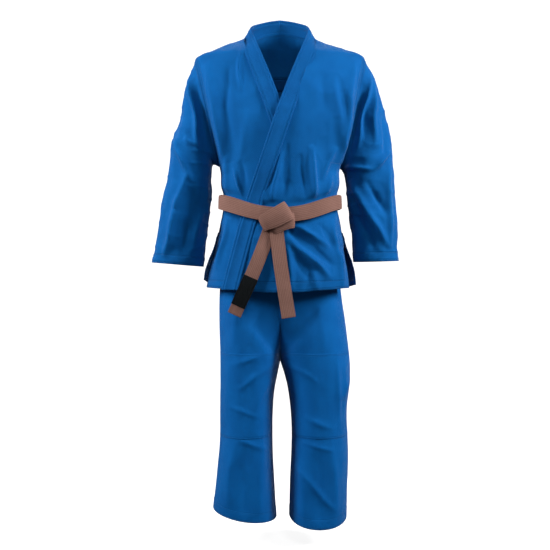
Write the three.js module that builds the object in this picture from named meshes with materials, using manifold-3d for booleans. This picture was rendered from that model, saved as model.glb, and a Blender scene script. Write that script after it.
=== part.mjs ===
// A belted judo uniform as it hangs on a wearer: a wrap-over jacket with a padded collar, a tied belt
// and wide trousers. Every sewn piece is a closed solid of its own, so the uniform comes apart as the
// real one does. Millimetres, +Z up, the front faces -Y, and the origin lies midway between the two
// points where the shoulder seams meet the collar. Left and right are the wearer's.
import * as THREE from "three";
import { mergeVertices } from "three/addons/utils/BufferGeometryUtils.js";
import Module from "manifold-3d";

const wasm = await Module();
wasm.setup();

// ---------------------------------------------------------------- driving dimensions
const JACKET_CLOTH = 3; // pearl weave, two layers at the seams
const TROUSER_CLOTH = 2.5;
const FACING = 2; // hem and cuff facings, yoke, patches
const SEAM_GAP = 0.5; // between two pieces that are sewn edge to edge
const LAY_GAP = 0.4; // between two pieces that lie on each other
const ROUNDNESS = 2.3; // power of the body's oval sections, 2 is an ellipse

const SHOULDER = { x: 250, z: -54 }; // tip of the shoulder, where the sleeve is hinged
const ARMPIT = { x: 176, z: -372 };
const ARMHOLE_DEPTH = 72; // half of the armhole's width, front to back
const WAIST_CUT = -572; // the skirt swings below this height
const HEM_Z = -744;

const BAND = { width: 48, thick: 7, wall: 1.3 }; // collar band
const LAP = 12; // how far the outer front stands off the inner one, over the inner collar band
const LAP_TURN = 32; // degrees round from the side seam over which it gets there
const LAP_TOP = -60; // height where it starts to stand off
const LAP_FULL = -200;

const BELT = { width: 40, thick: 4.5, side: -483, front: -528, back: -470 };
const BELT_BED = LAP + BAND.thick + 2; // the belt's inner face, in front
const BELT_SIDE_BED = JACKET_CLOTH + 1.6; // and at the sides and the back
const KNOT_THICK = 8;
const RANK_BAR = { length: 90, thick: 1.2, from_tip: 27 };
const TAIL_HINGE_Z = WAIST_CUT - 4;

const TROUSER_TOP = -465;
const HIP = { x: 180, z: -760 }; // outer end of the groin line, where a leg is hinged
const CROTCH_Z = -948;
const LEG_GAP = 1; // from the middle to each inner leg seam
const WAISTBAND = 45; // height
const CORD_SLOT = { wide: 14, tall: 7, x: 30 }; // where a drawstring leaves the waistband

// Body form: height, half width, front depth, back depth. The widths between shoulder and armpit
// follow from the armhole instead.
const JACKET_FORM = [
  [40, 86, 46, 70],
  [2, 110, 54, 77],
  [-20, 168, 68, 84],
  [SHOULDER.z, SHOULDER.x, 84, 92],
  [-150, 236, 108, 104],
  [-260, 206, 124, 108],
  [ARMPIT.z, ARMPIT.x, 124, 102],
  [-450, 167, 116, 96],
  [-490, 165, 113, 94],
  [WAIST_CUT, 180, 121, 102],
  [-660, 191, 128, 110],
  [HEM_Z, 199, 133, 116],
];
const TROUSER_FORM = [
  [TROUSER_TOP, 161.5, 90, 80],
  [-560, 164, 98, 88],
  [-660, 172, 106, 102],
  [HIP.z, HIP.x, 112, 108],
];
// The outer front's collar band, as height and x of its free edge and of its seam. The inner
// front's is the mirror image.
const FREE_EDGE = [[12, 84], [-73, 46], [-221, -9], [-427, -77], [-539, -110], [HEM_Z, -162]];
const SEAM_EDGE = [[2, 110], [-12, 116], [-69, 96], [-221, 41], [-427, -27], [-539, -60], [HEM_Z, -112]];

// Sleeves and legs as the lines of their outer and inner sides in the front view, from the seam
// down, and their half depths. x counts outwards from the middle.
const SLEEVE = {
  right: {
    outer: [[SHOULDER.x, SHOULDER.z], [284, -165], [315, -300], [340, -432], [361, -545], [381, -662]],
    inner: [[ARMPIT.x, ARMPIT.z], [203, -366], [210, -408], [207, -470], [219, -560], [233, -674]],
  },
  left: {
    outer: [[SHOULDER.x, SHOULDER.z], [292, -150], [322, -262], [335, -400], [345, -530], [355, -657]],
    inner: [[ARMPIT.x, ARMPIT.z], [192, -390], [200, -432], [205, -500], [213, -580], [223, -660]],
  },
  depth: [ARMHOLE_DEPTH, 72, 66, 61, 56, 50],
};
const LEG = {
  right: {
    outer: [[HIP.x, HIP.z], [178, -925], [175, -1075], [178, -1195], [188, -1305], [197, -1405]],
    inner: [[LEG_GAP, CROTCH_Z], [13, -1005], [24, -1075], [26, -1190], [21, -1300], [14, -1420]],
  },
  left: {
    outer: [[HIP.x, HIP.z], [202, -950], [203, -1085], [201, -1200], [198, -1310], [197, -1418]],
    inner: [[LEG_GAP, CROTCH_Z], [20, -1005], [33, -1080], [39, -1180], [33, -1300], [31, -1415]],
  },
  depth: [112, 106, 99, 95, 92, 90],
};

// The belt's hanging ends: their centre lines in the front view, and how far they stand off.
const TAIL_BED = BELT_BED - 1.6;
const BAR_TAIL = { line: [[-30, TAIL_HINGE_Z], [-74, -685], [-131, -812]], off: TAIL_BED };
const PLAIN_TAIL = { line: [[-11, TAIL_HINGE_Z], [2, -680], [24, -820]], off: TAIL_BED + BELT.thick + LAY_GAP };

// ---------------------------------------------------------------- small mathematics
const V = (x, y, z) => new THREE.Vector3(x, y, z);
const fromAxis = (p) => V(p.x, p.y, 0);
const mix = (a, b, t) => a + (b - a) * t;
const clamp01 = (t) => Math.min(1, Math.max(0, t));
const smooth = (t) => clamp01(t) ** 2 * (3 - 2 * clamp01(t));
const signedPower = (v, p) => Math.sign(v) * Math.abs(v) ** p;

// A smooth curve through rows [key, value...], keys falling; cubic between neighbours.
function through(rows, key, column = 1) {
  const n = rows.length;
  if (key >= rows[0][0]) return rows[0][column];
  if (key <= rows[n - 1][0]) return rows[n - 1][column];
  let i = 0;
  while (key < rows[i + 1][0]) i += 1;
  const slope = (k) => {
    const a = Math.max(0, k - 1);
    const b = Math.min(n - 1, k + 1);
    return (rows[b][column] - rows[a][column]) / (rows[b][0] - rows[a][0]);
  };
  const step = rows[i + 1][0] - rows[i][0];
  const t = (key - rows[i][0]) / step;
  const [p, q] = [rows[i][column], rows[i + 1][column]];
  const [m, k] = [slope(i) * step, slope(i + 1) * step];
  return (2 * t ** 3 - 3 * t ** 2 + 1) * p + (t ** 3 - 2 * t ** 2 + t) * m
    + (3 * t ** 2 - 2 * t ** 3) * q + (t ** 3 - t ** 2) * k;
}

// The same for evenly spaced values, at t from 0 to 1.
const along = (values, t) => through(values.map((v, i) => [-i, v]), -t * (values.length - 1));

// ---------------------------------------------------------------- closed solids from grids
function solidMesh(name, colour, points, triangles) {
  let volume = 0;
  for (const [a, b, c] of triangles) volume += points[a].dot(points[b].clone().cross(points[c]));
  const faces = volume < 0 ? triangles.map(([a, b, c]) => [a, c, b]) : triangles;
  const geometry = new THREE.BufferGeometry();
  geometry.setAttribute("position", new THREE.Float32BufferAttribute(points.flatMap((p) => p.toArray()), 3));
  geometry.setIndex(faces.flat());
  return named(name, colour, geometry);
}

const CLOTH = { blue: 0x0b559f, trousers: 0x0a5aa6, brown: 0x7b5a4d, black: 0x16181c, foam: 0x9a9a94, label: 0x0d4a8a };

function named(name, colour, geometry) {
  geometry.computeVertexNormals();
  const material = new THREE.MeshStandardMaterial({ color: CLOTH[colour], roughness: 0.9, metalness: 0 });
  const mesh = new THREE.Mesh(geometry, material);
  mesh.name = name;
  return mesh;
}

// A wall between two grids of points, near[i][j] and far[i][j]. It joins up in i where ring is true.
function wall(name, colour, near, far, ring = false) {
  const [nu, nv] = [near.length, near[0].length];
  const points = [...near.flat(), ...far.flat()];
  const at = (layer, i, j) => layer * nu * nv + (i % nu) * nv + j;
  const triangles = [];
  const quad = (a, b, c, d) => triangles.push([a, b, c], [a, c, d]);
  const spans = ring ? nu : nu - 1;
  for (let i = 0; i < spans; i += 1) {
    for (let j = 0; j < nv - 1; j += 1) {
      quad(at(0, i, j), at(0, i, j + 1), at(0, i + 1, j + 1), at(0, i + 1, j));
      quad(at(1, i, j), at(1, i + 1, j), at(1, i + 1, j + 1), at(1, i, j + 1));
    }
    quad(at(0, i, 0), at(0, i + 1, 0), at(1, i + 1, 0), at(1, i, 0));
    quad(at(0, i, nv - 1), at(1, i, nv - 1), at(1, i + 1, nv - 1), at(0, i + 1, nv - 1));
  }
  if (!ring) {
    for (let j = 0; j < nv - 1; j += 1) {
      quad(at(0, 0, j), at(1, 0, j), at(1, 0, j + 1), at(0, 0, j + 1));
      quad(at(0, nu - 1, j), at(0, nu - 1, j + 1), at(1, nu - 1, j + 1), at(1, nu - 1, j));
    }
  }
  return solidMesh(name, colour, points, triangles);
}

// A bar: loops[i] is a closed loop of points, and each loop is one station along the bar.
function bar(name, colour, loops) {
  const [n, m] = [loops.length, loops[0].length];
  const points = loops.flat();
  const at = (i, k) => i * m + (k % m);
  const triangles = [];
  for (let i = 0; i < n - 1; i += 1) {
    for (let k = 0; k < m; k += 1) {
      triangles.push([at(i, k), at(i + 1, k), at(i + 1, k + 1)], [at(i, k), at(i + 1, k + 1), at(i, k + 1)]);
    }
  }
  for (let k = 1; k < m - 1; k += 1) {
    triangles.push([at(0, 0), at(0, k), at(0, k + 1)], [at(n - 1, 0), at(n - 1, k + 1), at(n - 1, k)]);
  }
  return solidMesh(name, colour, points, triangles);
}

const span = (from, to, count) => Array.from({ length: count + 1 }, (_, i) => mix(from, to, i / count));

// A sheet of cloth: surface(u, v) gives its base, lift(u, v) how far out it lies, thick its thickness.
// us and vs are the columns and rows of its grid, so that two sheets that lie on each other share
// theirs. outward(p) points from the body to the outside.
function sheet(name, colour, surface, [us, vs], lift, thick, outward = fromAxis) {
  const step = 1e-3;
  const face = (rise) => us.map((u) => vs.map((v) => {
    const p = surface(u, v);
    const du = surface(u + step, v).sub(surface(u - step, v));
    const dv = surface(u, v + step).sub(surface(u, v - step));
    const normal = du.cross(dv).normalize();
    if (normal.dot(outward(p)) < 0) normal.negate();
    return p.addScaledVector(normal, lift(u, v) + rise);
  }));
  return wall(name, colour, face(0), face(thick));
}

// What is left of a mesh on one side of a plane, or outside some boxes, cut with manifold-3d.
function solidOf(mesh) {
  const { attributes, index } = mesh.geometry;
  return new wasm.Manifold(new wasm.Mesh({
    numProp: 3,
    vertProperties: new Float32Array(attributes.position.array),
    triVerts: new Uint32Array(index.array),
  }));
}

function withSolid(mesh, solid) {
  const { vertProperties, triVerts } = solid.getMesh();
  mesh.geometry = new THREE.BufferGeometry();
  mesh.geometry.setAttribute("position", new THREE.BufferAttribute(vertProperties, 3));
  mesh.geometry.setIndex(new THREE.BufferAttribute(triVerts, 1));
  mesh.geometry.computeVertexNormals();
  return mesh;
}

function trimmed(mesh, ...planes) {
  const cut = (solid, { normal, offset }) => solid.trimByPlane(normal.toArray(), offset);
  return withSolid(mesh, planes.reduce(cut, solidOf(mesh)));
}

// The plane through two points of the front view, facing away from the body's middle or to it.
function sidePlane(side, top, bottom, away) {
  const normal = V(side * (top.z - bottom.z), 0, bottom.x - top.x).normalize().multiplyScalar(away ? 1 : -1);
  return { normal, offset: normal.dot(V(side * top.x, 0, top.z)) + SEAM_GAP / 2 };
}

// ---------------------------------------------------------------- the body's form

// Half depth of the armhole at a height, and the x of its plane.
function armhole(z) {
  const middle = (SHOULDER.z + ARMPIT.z) / 2;
  const half = (SHOULDER.z - ARMPIT.z) / 2;
  const depth = ARMHOLE_DEPTH * Math.sqrt(Math.max(0, 1 - ((z - middle) / half) ** 2));
  return { depth, x: mix(ARMPIT.x, SHOULDER.x, (z - ARMPIT.z) / (SHOULDER.z - ARMPIT.z)) };
}

// Half width and depth of the jacket's section at a height, for the front or the back half. Beside
// an armhole the oval passes through the armhole's edge.
function section(z, front) {
  const depth = through(JACKET_FORM, z, front ? 2 : 3);
  if (z > SHOULDER.z || z < ARMPIT.z) return { width: through(JACKET_FORM, z, 1), depth };
  const edge = armhole(z);
  return { width: edge.x / (1 - (edge.depth / depth) ** ROUNDNESS) ** (1 / ROUNDNESS), depth };
}

// A point of the jacket's form: angle 0 is the wearer's left side, 90 degrees the front, 270 the back.
function body(angle, z) {
  const front = Math.sin(angle) >= 0;
  const { width, depth } = section(z, front);
  return V(
    width * signedPower(Math.cos(angle), 2 / ROUNDNESS),
    -depth * signedPower(Math.sin(angle), 2 / ROUNDNESS),
    z,
  );
}

// The angle whose point has this x, on the front half.
function angleAt(x, z) {
  const { width } = section(z, true);
  return Math.acos(THREE.MathUtils.clamp(signedPower(x / width, ROUNDNESS / 2), -1, 1));
}

// The smallest angle from the side seam, shoulder seam or armhole edge at a height.
function edgeAngle(z, front) {
  const { depth } = section(z, front);
  const seam = SEAM_GAP / 2 / depth;
  if (z > SHOULDER.z || z < ARMPIT.z) return seam;
  return Math.max(seam, Math.asin(Math.min(1, (armhole(z).depth / depth) ** (ROUNDNESS / 2)))) + seam;
}

const freeEdge = (z) => through(FREE_EDGE, z);
const seamEdge = (z) => through(SEAM_EDGE, z);
const degrees = (a) => (a * 180) / Math.PI;

// How far the outer front's inner face stands off the form.
function outerLayer(angle, z) {
  return LAP * smooth(degrees(angle) / LAP_TURN) * smooth((LAP_TOP - z) / (LAP_TOP - LAP_FULL));
}

// ---------------------------------------------------------------- jacket panels
// One front from its side or armhole to the collar seam, between two heights. side is 1 for the
// wearer's left, whose front lies outside, and -1 for the right.
function frontSurface(side, top, bottom) {
  return (u, v) => {
    const z = mix(top, bottom, v);
    const from = edgeAngle(z, true);
    const to = angleAt(seamEdge(z) + SEAM_GAP, z);
    const p = body(mix(from, to, u), z);
    return V(side * p.x, p.y, p.z);
  };
}

const BACK_COLUMNS = span(0, 1, 16);
const FRONT_COLUMNS = span(0, 1, 8);
const PANEL_ROWS = span(0, 1, 14);
const SKIRT_ROWS = [0, 0.2, 0.4, 0.6, 0.8, 1];
const RIDGE_TOP = -8; // where the front's shoulder corner ends, beside the collar
const UPPER = [RIDGE_TOP, WAIST_CUT + SEAM_GAP / 2];
const LOWER = [WAIST_CUT - SEAM_GAP / 2, HEM_Z];

function frontLift(side, [top, bottom]) {
  return (u, v) => {
    if (side < 0) return 0;
    const z = mix(top, bottom, v);
    return outerLayer(mix(edgeAngle(z, true), angleAt(seamEdge(z) + SEAM_GAP, z), u), z);
  };
}

function frontPiece(name, side, heights, rows) {
  const surface = frontSurface(side, ...heights);
  return sheet(name, "blue", surface, [FRONT_COLUMNS, rows], frontLift(side, heights), JACKET_CLOTH);
}

// Nothing of the body's panels reaches past the planes of the armholes.
const armholePlane = (side, away) => sidePlane(side, SHOULDER, ARMPIT, away);
const bodySide = (mesh, ...sides) => trimmed(mesh, ...sides.map((side) => armholePlane(side, false)));

const jacket = [
  bodySide(frontPiece("left_front_panel", 1, UPPER, PANEL_ROWS), 1),
  bodySide(frontPiece("right_front_panel", -1, UPPER, PANEL_ROWS), -1),
];

// The back from seam to seam. Its top row climbs from the shoulder seams to the nape.
const NAPE_RISE = 34;
function backSurface([top, bottom]) {
  return (u, v) => {
    const rise = top === RIDGE_TOP ? (1 - clamp01(v * 4)) ** 2 : 0;
    const level = mix(top, bottom, v);
    const edge = edgeAngle(level, false);
    const angle = Math.PI + mix(edge, Math.PI - edge, u);
    const z = level + rise * (NAPE_RISE + 2 - RIDGE_TOP - BAND.wall) * Math.sin(mix(0, Math.PI, u)) ** 2;
    return body(angle, z);
  };
}
const flat = () => 0;
const inside = () => -LAY_GAP - FACING;
const upperBack = backSurface(UPPER);
jacket.push(bodySide(sheet("back_panel", "blue", upperBack, [BACK_COLUMNS, PANEL_ROWS], flat, JACKET_CLOTH), 1, -1));

// The yoke lines the back of the shoulders; a blank label is sewn on it below the nape.
const yokeGrid = [BACK_COLUMNS.slice(2, -2), PANEL_ROWS.slice(1, 5)];
jacket.push(sheet("shoulder_yoke", "blue", upperBack, yokeGrid, inside, FACING));
const LABEL_THICK = 0.8;
const labelGrid = [BACK_COLUMNS.slice(7, 10), PANEL_ROWS.slice(2, 4)];
jacket.push(sheet("neck_label", "label", upperBack, labelGrid, () => inside() - LAY_GAP - LABEL_THICK, LABEL_THICK));

// ---------------------------------------------------------------- collar band
// A station of the band: its free edge, its seam edge and the height of its layer.
function chestStation(side, z) {
  const place = (x) => {
    const p = body(angleAt(x, z), z);
    return V(side * p.x, p.y, p.z);
  };
  const layer = side > 0 ? LAP * smooth((LAP_TOP - z) / (LAP_TOP - LAP_FULL)) : 0;
  return { free: place(freeEdge(z)), seam: place(seamEdge(z)), layer };
}

// Round the neck the band stands on the neckline and leans in over it.
function neckStation(side, turn, lean) {
  const seam = body(Math.PI * 2 - THREE.MathUtils.degToRad(turn), 2 + NAPE_RISE * Math.sin(THREE.MathUtils.degToRad(turn)) ** 2);
  const radial = V(seam.x, seam.y, 0).normalize();
  const tilt = THREE.MathUtils.degToRad(lean);
  const free = seam.clone().addScaledVector(radial, -BAND.width * Math.sin(tilt));
  free.z += BAND.width * Math.cos(tilt);
  free.y -= 10 * Math.cos(THREE.MathUtils.degToRad(turn)) ** 2;
  return { free: V(side * free.x, free.y, free.z), seam: V(side * seam.x, seam.y, seam.z), layer: 0 };
}

const CHEST_HEIGHTS = [-520, -460, -400, -340, -280, -230, -180, -130, -80, -40];
const NECK_TURNS = [[8, 28], [30, 22], [52, 14], [72, 8]];

function stations(side, top, bottom, count) {
  return Array.from({ length: count + 1 }, (_, i) => chestStation(side, mix(top, bottom, i / count)));
}

function collarStations() {
  const half = (side) => [
    chestStation(side, WAIST_CUT + SEAM_GAP / 2),
    ...CHEST_HEIGHTS.map((z) => chestStation(side, z)),
    ...NECK_TURNS.map(([turn, lean]) => neckStation(side, turn, lean)),
  ];
  return [...half(1), neckStation(1, 90, 7), ...half(-1).reverse()];
}

// Smooths the stations with curves through them, and gives each its outward direction.
function framed(list, count) {
  const curve = (key) => new THREE.CatmullRomCurve3(list.map((s) => s[key]), false, "centripetal");
  const [free, seam] = [curve("free"), curve("seam")];
  const layers = list.map((s) => s.layer);
  return Array.from({ length: count + 1 }, (_, i) => {
    const t = i / count;
    const [f, s] = [free.getPoint(t), seam.getPoint(t)];
    const across = s.clone().sub(f).normalize();
    const step = 1e-3;
    const tangent = seam.getPoint(Math.min(1, t + step)).sub(seam.getPoint(Math.max(0, t - step)));
    const normal = across.clone().cross(tangent).normalize();
    if (normal.dot(fromAxis(s)) < 0) normal.negate();
    return { free: f, across, width: f.distanceTo(s), normal, layer: along(layers, t) };
  });
}

// The band's section, drawn in by shrink on all sides, with cut corners.
function bandLoop(frame, shrink) {
  const cut = 1.6;
  const [w, t] = [frame.width - SEAM_GAP, BAND.thick];
  const [a, b, c, d] = [shrink, w - shrink, shrink, t - shrink];
  const corners = [[a, c + cut], [a + cut, c], [b - cut, c], [b, c + cut], [b, d - cut], [b - cut, d], [a + cut, d], [a, d - cut]];
  return corners.map(([q, h]) => frame.free.clone()
    .addScaledVector(frame.across, q)
    .addScaledVector(frame.normal, frame.layer + h));
}

const turned = (grid) => grid[0].map((_, k) => grid.map((row) => row[k]));

function bandPiece(name, frames) {
  const outer = turned(frames.map((f) => bandLoop(f, 0)));
  const inner = turned(frames.map((f) => bandLoop(f, BAND.wall)));
  return wall(name, "blue", outer, inner, true);
}

const corePiece = (name, frames) => bar(name, "foam", frames.map((f) => bandLoop(f, BAND.wall + LAY_GAP)));
const collar = framed(collarStations(), 34);
jacket.push(bandPiece("collar_band", collar), corePiece("collar_core", collar));

// ---------------------------------------------------------------- belt
function beltHeight(angle) {
  const s = Math.sin(angle);
  return BELT.side + (s > 0 ? BELT.front - BELT.side : BELT.back - BELT.side) * Math.abs(s) ** 3;
}

function beltLift(angle) {
  const fold = degrees(Math.asin(Math.min(1, Math.abs(Math.sin(angle)))));
  const front = Math.sin(angle) > 0 ? smooth(fold / LAP_TURN) : 0;
  return mix(BELT_SIDE_BED, BELT_BED, front);
}

const BELT_COLUMNS = 40;
function beltWrap(name, lift, rise) {
  const face = (out) => Array.from({ length: BELT_COLUMNS }, (_, i) => {
    const angle = (i / BELT_COLUMNS) * Math.PI * 2;
    return [0.5, 0, -0.5].map((across) => {
      const z = beltHeight(angle) + rise + BELT.width * across;
      const ahead = body(angle + 1e-3, z).sub(body(angle - 1e-3, z));
      const p = body(angle, z);
      const normal = ahead.cross(V(0, 0, 1)).normalize();
      if (normal.dot(p) < 0) normal.negate();
      return p.addScaledVector(normal, beltLift(angle) + lift + out);
    });
  });
  return wall(name, "brown", face(0), face(BELT.thick), true);
}
jacket.push(beltWrap("belt_inner_wrap", 0, 3), beltWrap("belt_outer_wrap", BELT.thick + LAY_GAP, 0));

// The knot: a folded pass over the wraps, and the corner of the pass beneath it.
const KNOT_OVER = [[12, -499], [-36, -518], [-59, -542], [-38, -569], [2, -568], [39, -551]];
const KNOT_UNDER = [[41, -556], [16, -567], [6, -567], [36, -553]];
const KNOT_BOTTOM = -550; // the lowest point where it lies on the wraps
function knotPiece(name, outline, back, thick) {
  const shape = new THREE.Shape(outline.map(([x, z]) => new THREE.Vector2(x, z)));
  const geometry = new THREE.ExtrudeGeometry(shape, { depth: thick, bevelEnabled: false });
  geometry.rotateX(Math.PI / 2); // the outline's second axis becomes height, and it thickens to -Y
  return named(name, "brown", geometry.translate(0, back, 0));
}
const beltFront = -(section(KNOT_BOTTOM, true).depth + BELT_BED + 2 * BELT.thick + LAY_GAP);
jacket.push(knotPiece("belt_knot_over", KNOT_OVER, beltFront - LAY_GAP, KNOT_THICK));
jacket.push(knotPiece("belt_knot_under", KNOT_UNDER, beltFront - LAY_GAP, KNOT_THICK / 2));

// ---------------------------------------------------------------- skirt
const HEM_ROWS = SKIRT_ROWS.slice(-2);

// A small patch outside the top of each side vent, one column of the panel wide.
function ventPatch(name, surface, columns, lift) {
  const out = (u, v) => lift(u, v) + JACKET_CLOTH + LAY_GAP;
  return sheet(name, "blue", surface, [columns, SKIRT_ROWS.slice(0, 3)], out, FACING);
}

function skirtFront(side, label) {
  const frames = framed(stations(side, ...LOWER, 6), 6);
  const surface = frontSurface(side, ...LOWER);
  const lift = frontLift(side, LOWER);
  const hemLift = (u, v) => lift(u, v) - LAY_GAP - FACING;
  return [
    frontPiece(`${label}_skirt_panel`, side, LOWER, SKIRT_ROWS),
    bandPiece(`${label}_lapel`, frames),
    corePiece(`${label}_lapel_core`, frames),
    sheet(`${label}_skirt_hem`, "blue", surface, [FRONT_COLUMNS, HEM_ROWS], hemLift, FACING),
    ventPatch(`${label}_vent_patch`, surface, FRONT_COLUMNS.slice(0, 2), lift),
  ];
}

const outerSkirt = skirtFront(1, "left");
const innerSkirt = skirtFront(-1, "right");
const lowerBack = backSurface(LOWER);
const backSkirt = [
  sheet("back_skirt_panel", "blue", lowerBack, [BACK_COLUMNS, SKIRT_ROWS], flat, JACKET_CLOTH),
  sheet("back_skirt_hem", "blue", lowerBack, [BACK_COLUMNS, HEM_ROWS], inside, FACING),
  ventPatch("back_right_vent_patch", lowerBack, BACK_COLUMNS.slice(0, 2), flat),
  ventPatch("back_left_vent_patch", lowerBack, BACK_COLUMNS.slice(-2), flat),
];

// ---------------------------------------------------------------- sleeves and legs
// A point of a limb's tube: t runs down it, angle 0 is its outer side and 90 degrees its front.
function limb(lines, depths, side) {
  const at = (list, t) => [along(list.map((p) => p[0]), t), along(list.map((p) => p[1]), t)];
  return (angle, t) => {
    const [outer, inner] = [at(lines.outer, t), at(lines.inner, t)];
    const [c, s] = [Math.cos(angle), Math.sin(angle)];
    const depth = along(depths, t);
    return V(
      side * mix(inner[0], outer[0], (1 + c) / 2),
      -depth * s,
      mix(inner[1], outer[1], (1 + c) / 2),
    );
  };
}

// A tube of cloth round a limb on the columns and rows given, its faces lying near and far from the
// limb's points, measured away from the middle of each ring.
function tube(name, colour, point, [columns, rows], [near, far], ring = true) {
  const face = (off) => columns.map((turn) => rows.map((t) => {
    const angle = turn * Math.PI * 2;
    const p = point(angle, t);
    const centre = point(0, t).add(point(Math.PI, t)).multiplyScalar(0.5);
    const away = p.clone().sub(centre).normalize();
    return p.addScaledVector(away, off);
  }));
  return wall(name, colour, face(near), face(far), ring);
}

const SLEEVE_COLUMNS = span(0, 1, 16);
const SLEEVE_ROWS = [-0.03, ...span(0.08, 0.9, 8), 1];
const PATCH = [LAY_GAP, LAY_GAP + FACING]; // on the outside of a tube
function sleeve(label, side) {
  const point = limb(SLEEVE[label], SLEEVE.depth, side);
  const gusset = [SLEEVE_COLUMNS.slice(7, 10), SLEEVE_ROWS.slice(3, 5)];
  const cuff = [SLEEVE_COLUMNS.slice(0, -1), SLEEVE_ROWS.slice(-2)];
  const panel = [SLEEVE_COLUMNS.slice(0, -1), SLEEVE_ROWS];
  return [
    trimmed(tube(`${label}_sleeve_panel`, "blue", point, panel, [-JACKET_CLOTH, 0]), armholePlane(side, true)),
    tube(`${label}_cuff_facing`, "blue", point, cuff, [-JACKET_CLOTH - LAY_GAP - FACING, -JACKET_CLOTH - LAY_GAP]),
    tube(`${label}_armpit_gusset`, "blue", point, gusset, PATCH, false),
  ];
}
const sleeves = { left: sleeve("left", 1), right: sleeve("right", -1) };

// ---------------------------------------------------------------- trousers
// A point of the trousers' form, which keeps its section below the hip.
function trouserBody(angle, z) {
  const [width, front, back] = [1, 2, 3].map((k) => through(TROUSER_FORM, z, k));
  const s = Math.sin(angle);
  return V(
    width * signedPower(Math.cos(angle), 2 / ROUNDNESS),
    -(s > 0 ? front : back) * signedPower(s, 2 / ROUNDNESS),
    z,
  );
}

const groin = (x) => mix(CROTCH_Z, HIP.z, Math.min(1, Math.abs(x) / HIP.x));
const CROTCH = { x: 0, z: CROTCH_Z };
const groinPlane = (side, away) => sidePlane(side, HIP, CROTCH, away);
const middlePlane = (side) => ({ normal: V(side, 0, 0), offset: LEG_GAP });
const SEAT_COLUMNS = span(0, 1, 12);
const SEAT_ROWS = [0, ...span(1 / 7, 1, 6)];
const OVERRUN = 25; // how far a piece is made past the plane that trims it

// Half of the seat, from the front centre seam round the side to the back one. Its first row of
// facets is level, for the waistband.
function seat(label, side) {
  const surface = (u, v) => {
    const angle = mix(Math.PI / 2, -Math.PI / 2, u);
    const low = groin(trouserBody(angle, HIP.z).x) - OVERRUN;
    const z = TROUSER_TOP - WAISTBAND * Math.min(1, v * 7);
    const p = trouserBody(angle, mix(z, low, clamp01((v * 7 - 1) / 6)));
    return V(side * p.x, p.y, p.z);
  };
  const grid = [SEAT_COLUMNS, SEAT_ROWS];
  const mesh = sheet(`trouser_seat_${label}`, "trousers", surface, grid, () => -TROUSER_CLOTH, TROUSER_CLOTH);
  return trimmed(mesh, groinPlane(side, false), middlePlane(side));
}

// Where a waistband column stands, off the cloth by the distance given.
function waistPoint(column, z, off) {
  const angle = (column / 24) * Math.PI * 2;
  const ahead = trouserBody(angle + 1e-3, z).sub(trouserBody(angle - 1e-3, z));
  const p = trouserBody(angle, z);
  const normal = ahead.cross(V(0, 0, 1)).normalize();
  if (normal.dot(p) < 0) normal.negate();
  return p.addScaledVector(normal, off);
}

function waistRing(name, near, far) {
  const heights = [TROUSER_TOP, TROUSER_TOP - WAISTBAND];
  const face = (off) => Array.from({ length: 24 }, (_, i) => heights.map((z) => waistPoint(i, z, off)));
  return wall(name, "trousers", face(near), face(far), true);
}

// Cuts boxes out of a mesh.
function withSlots(mesh, boxes) {
  const tool = ({ size, at }) => {
    const box = mergeVertices(new THREE.BoxGeometry(...size).translate(...at).deleteAttribute("normal").deleteAttribute("uv"));
    return solidOf({ geometry: box });
  };
  return withSolid(mesh, boxes.reduce((solid, box) => solid.subtract(tool(box)), solidOf(mesh)));
}

const slotZ = TROUSER_TOP - WAISTBAND / 2;
const slots = [-1, 1].map((side) => ({
  size: [CORD_SLOT.wide, 24, CORD_SLOT.tall],
  at: [side * CORD_SLOT.x, -through(TROUSER_FORM, slotZ, 2), slotZ],
}));
const waistband = withSlots(waistRing("waistband", LAY_GAP, LAY_GAP + FACING), slots);
const facingDepth = -TROUSER_CLOTH - LAY_GAP;
const facing = waistRing("waistband_facing", facingDepth - FACING, facingDepth);

// A cord loop: a strip sewn to the waistband at its top and bottom, and open between them. It
// stands on the middle of a facet of the waistband.
const LOOP = { wide: 12, tall: 34, stand: 5, thick: 1.7 };
function cordLoop(name, column) {
  const h = LOOP.tall / 2;
  const outline = [[0, h], [LOOP.thick, h], [LOOP.stand + LOOP.thick, h - 7], [LOOP.stand + LOOP.thick, 7 - h],
    [LOOP.thick, -h], [0, -h], [0, 5 - h], [LOOP.stand, 10 - h], [LOOP.stand, h - 10], [0, h - 5]];
  const shape = new THREE.Shape(outline.map(([x, y]) => new THREE.Vector2(x, y)));
  const geometry = new THREE.ExtrudeGeometry(shape, { depth: LOOP.wide, bevelEnabled: false });
  geometry.translate(0, 0, -LOOP.wide / 2);
  geometry.rotateX(Math.PI / 2); // standing up, thickening along +X
  const off = LAY_GAP + FACING + 1.9; // clear of the waistband, which widens downwards
  const [a, b] = [column, column + 1].map((c) => waistPoint(c, slotZ, off));
  const away = b.clone().sub(a).cross(V(0, 0, 1)).normalize();
  if (away.dot(a) < 0) away.negate();
  geometry.rotateZ(Math.atan2(away.y, away.x));
  const place = a.add(b).multiplyScalar(0.5);
  return named(name, "trousers", geometry.translate(place.x, place.y, place.z));
}
const LOOP_COLUMNS = { front_left: 4, front_right: 7, back_right: 16, back_left: 19 };
const loops = Object.entries(LOOP_COLUMNS).map(([where, column]) => cordLoop(`cord_loop_${where}`, column));

// Legs: at the groin each ring is the seat's cut with a straight inner side, and it rounds off
// further down.
const ROUND_BY = 0.4;
const OUTER_SHARE = 0.7; // of a ring's points that lie on its outer side
const LEG_COLUMNS = span(0, 1, 20);
const LEG_ROWS = [-0.04, ...span(0.06, 0.94, 8), 1];

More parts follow.
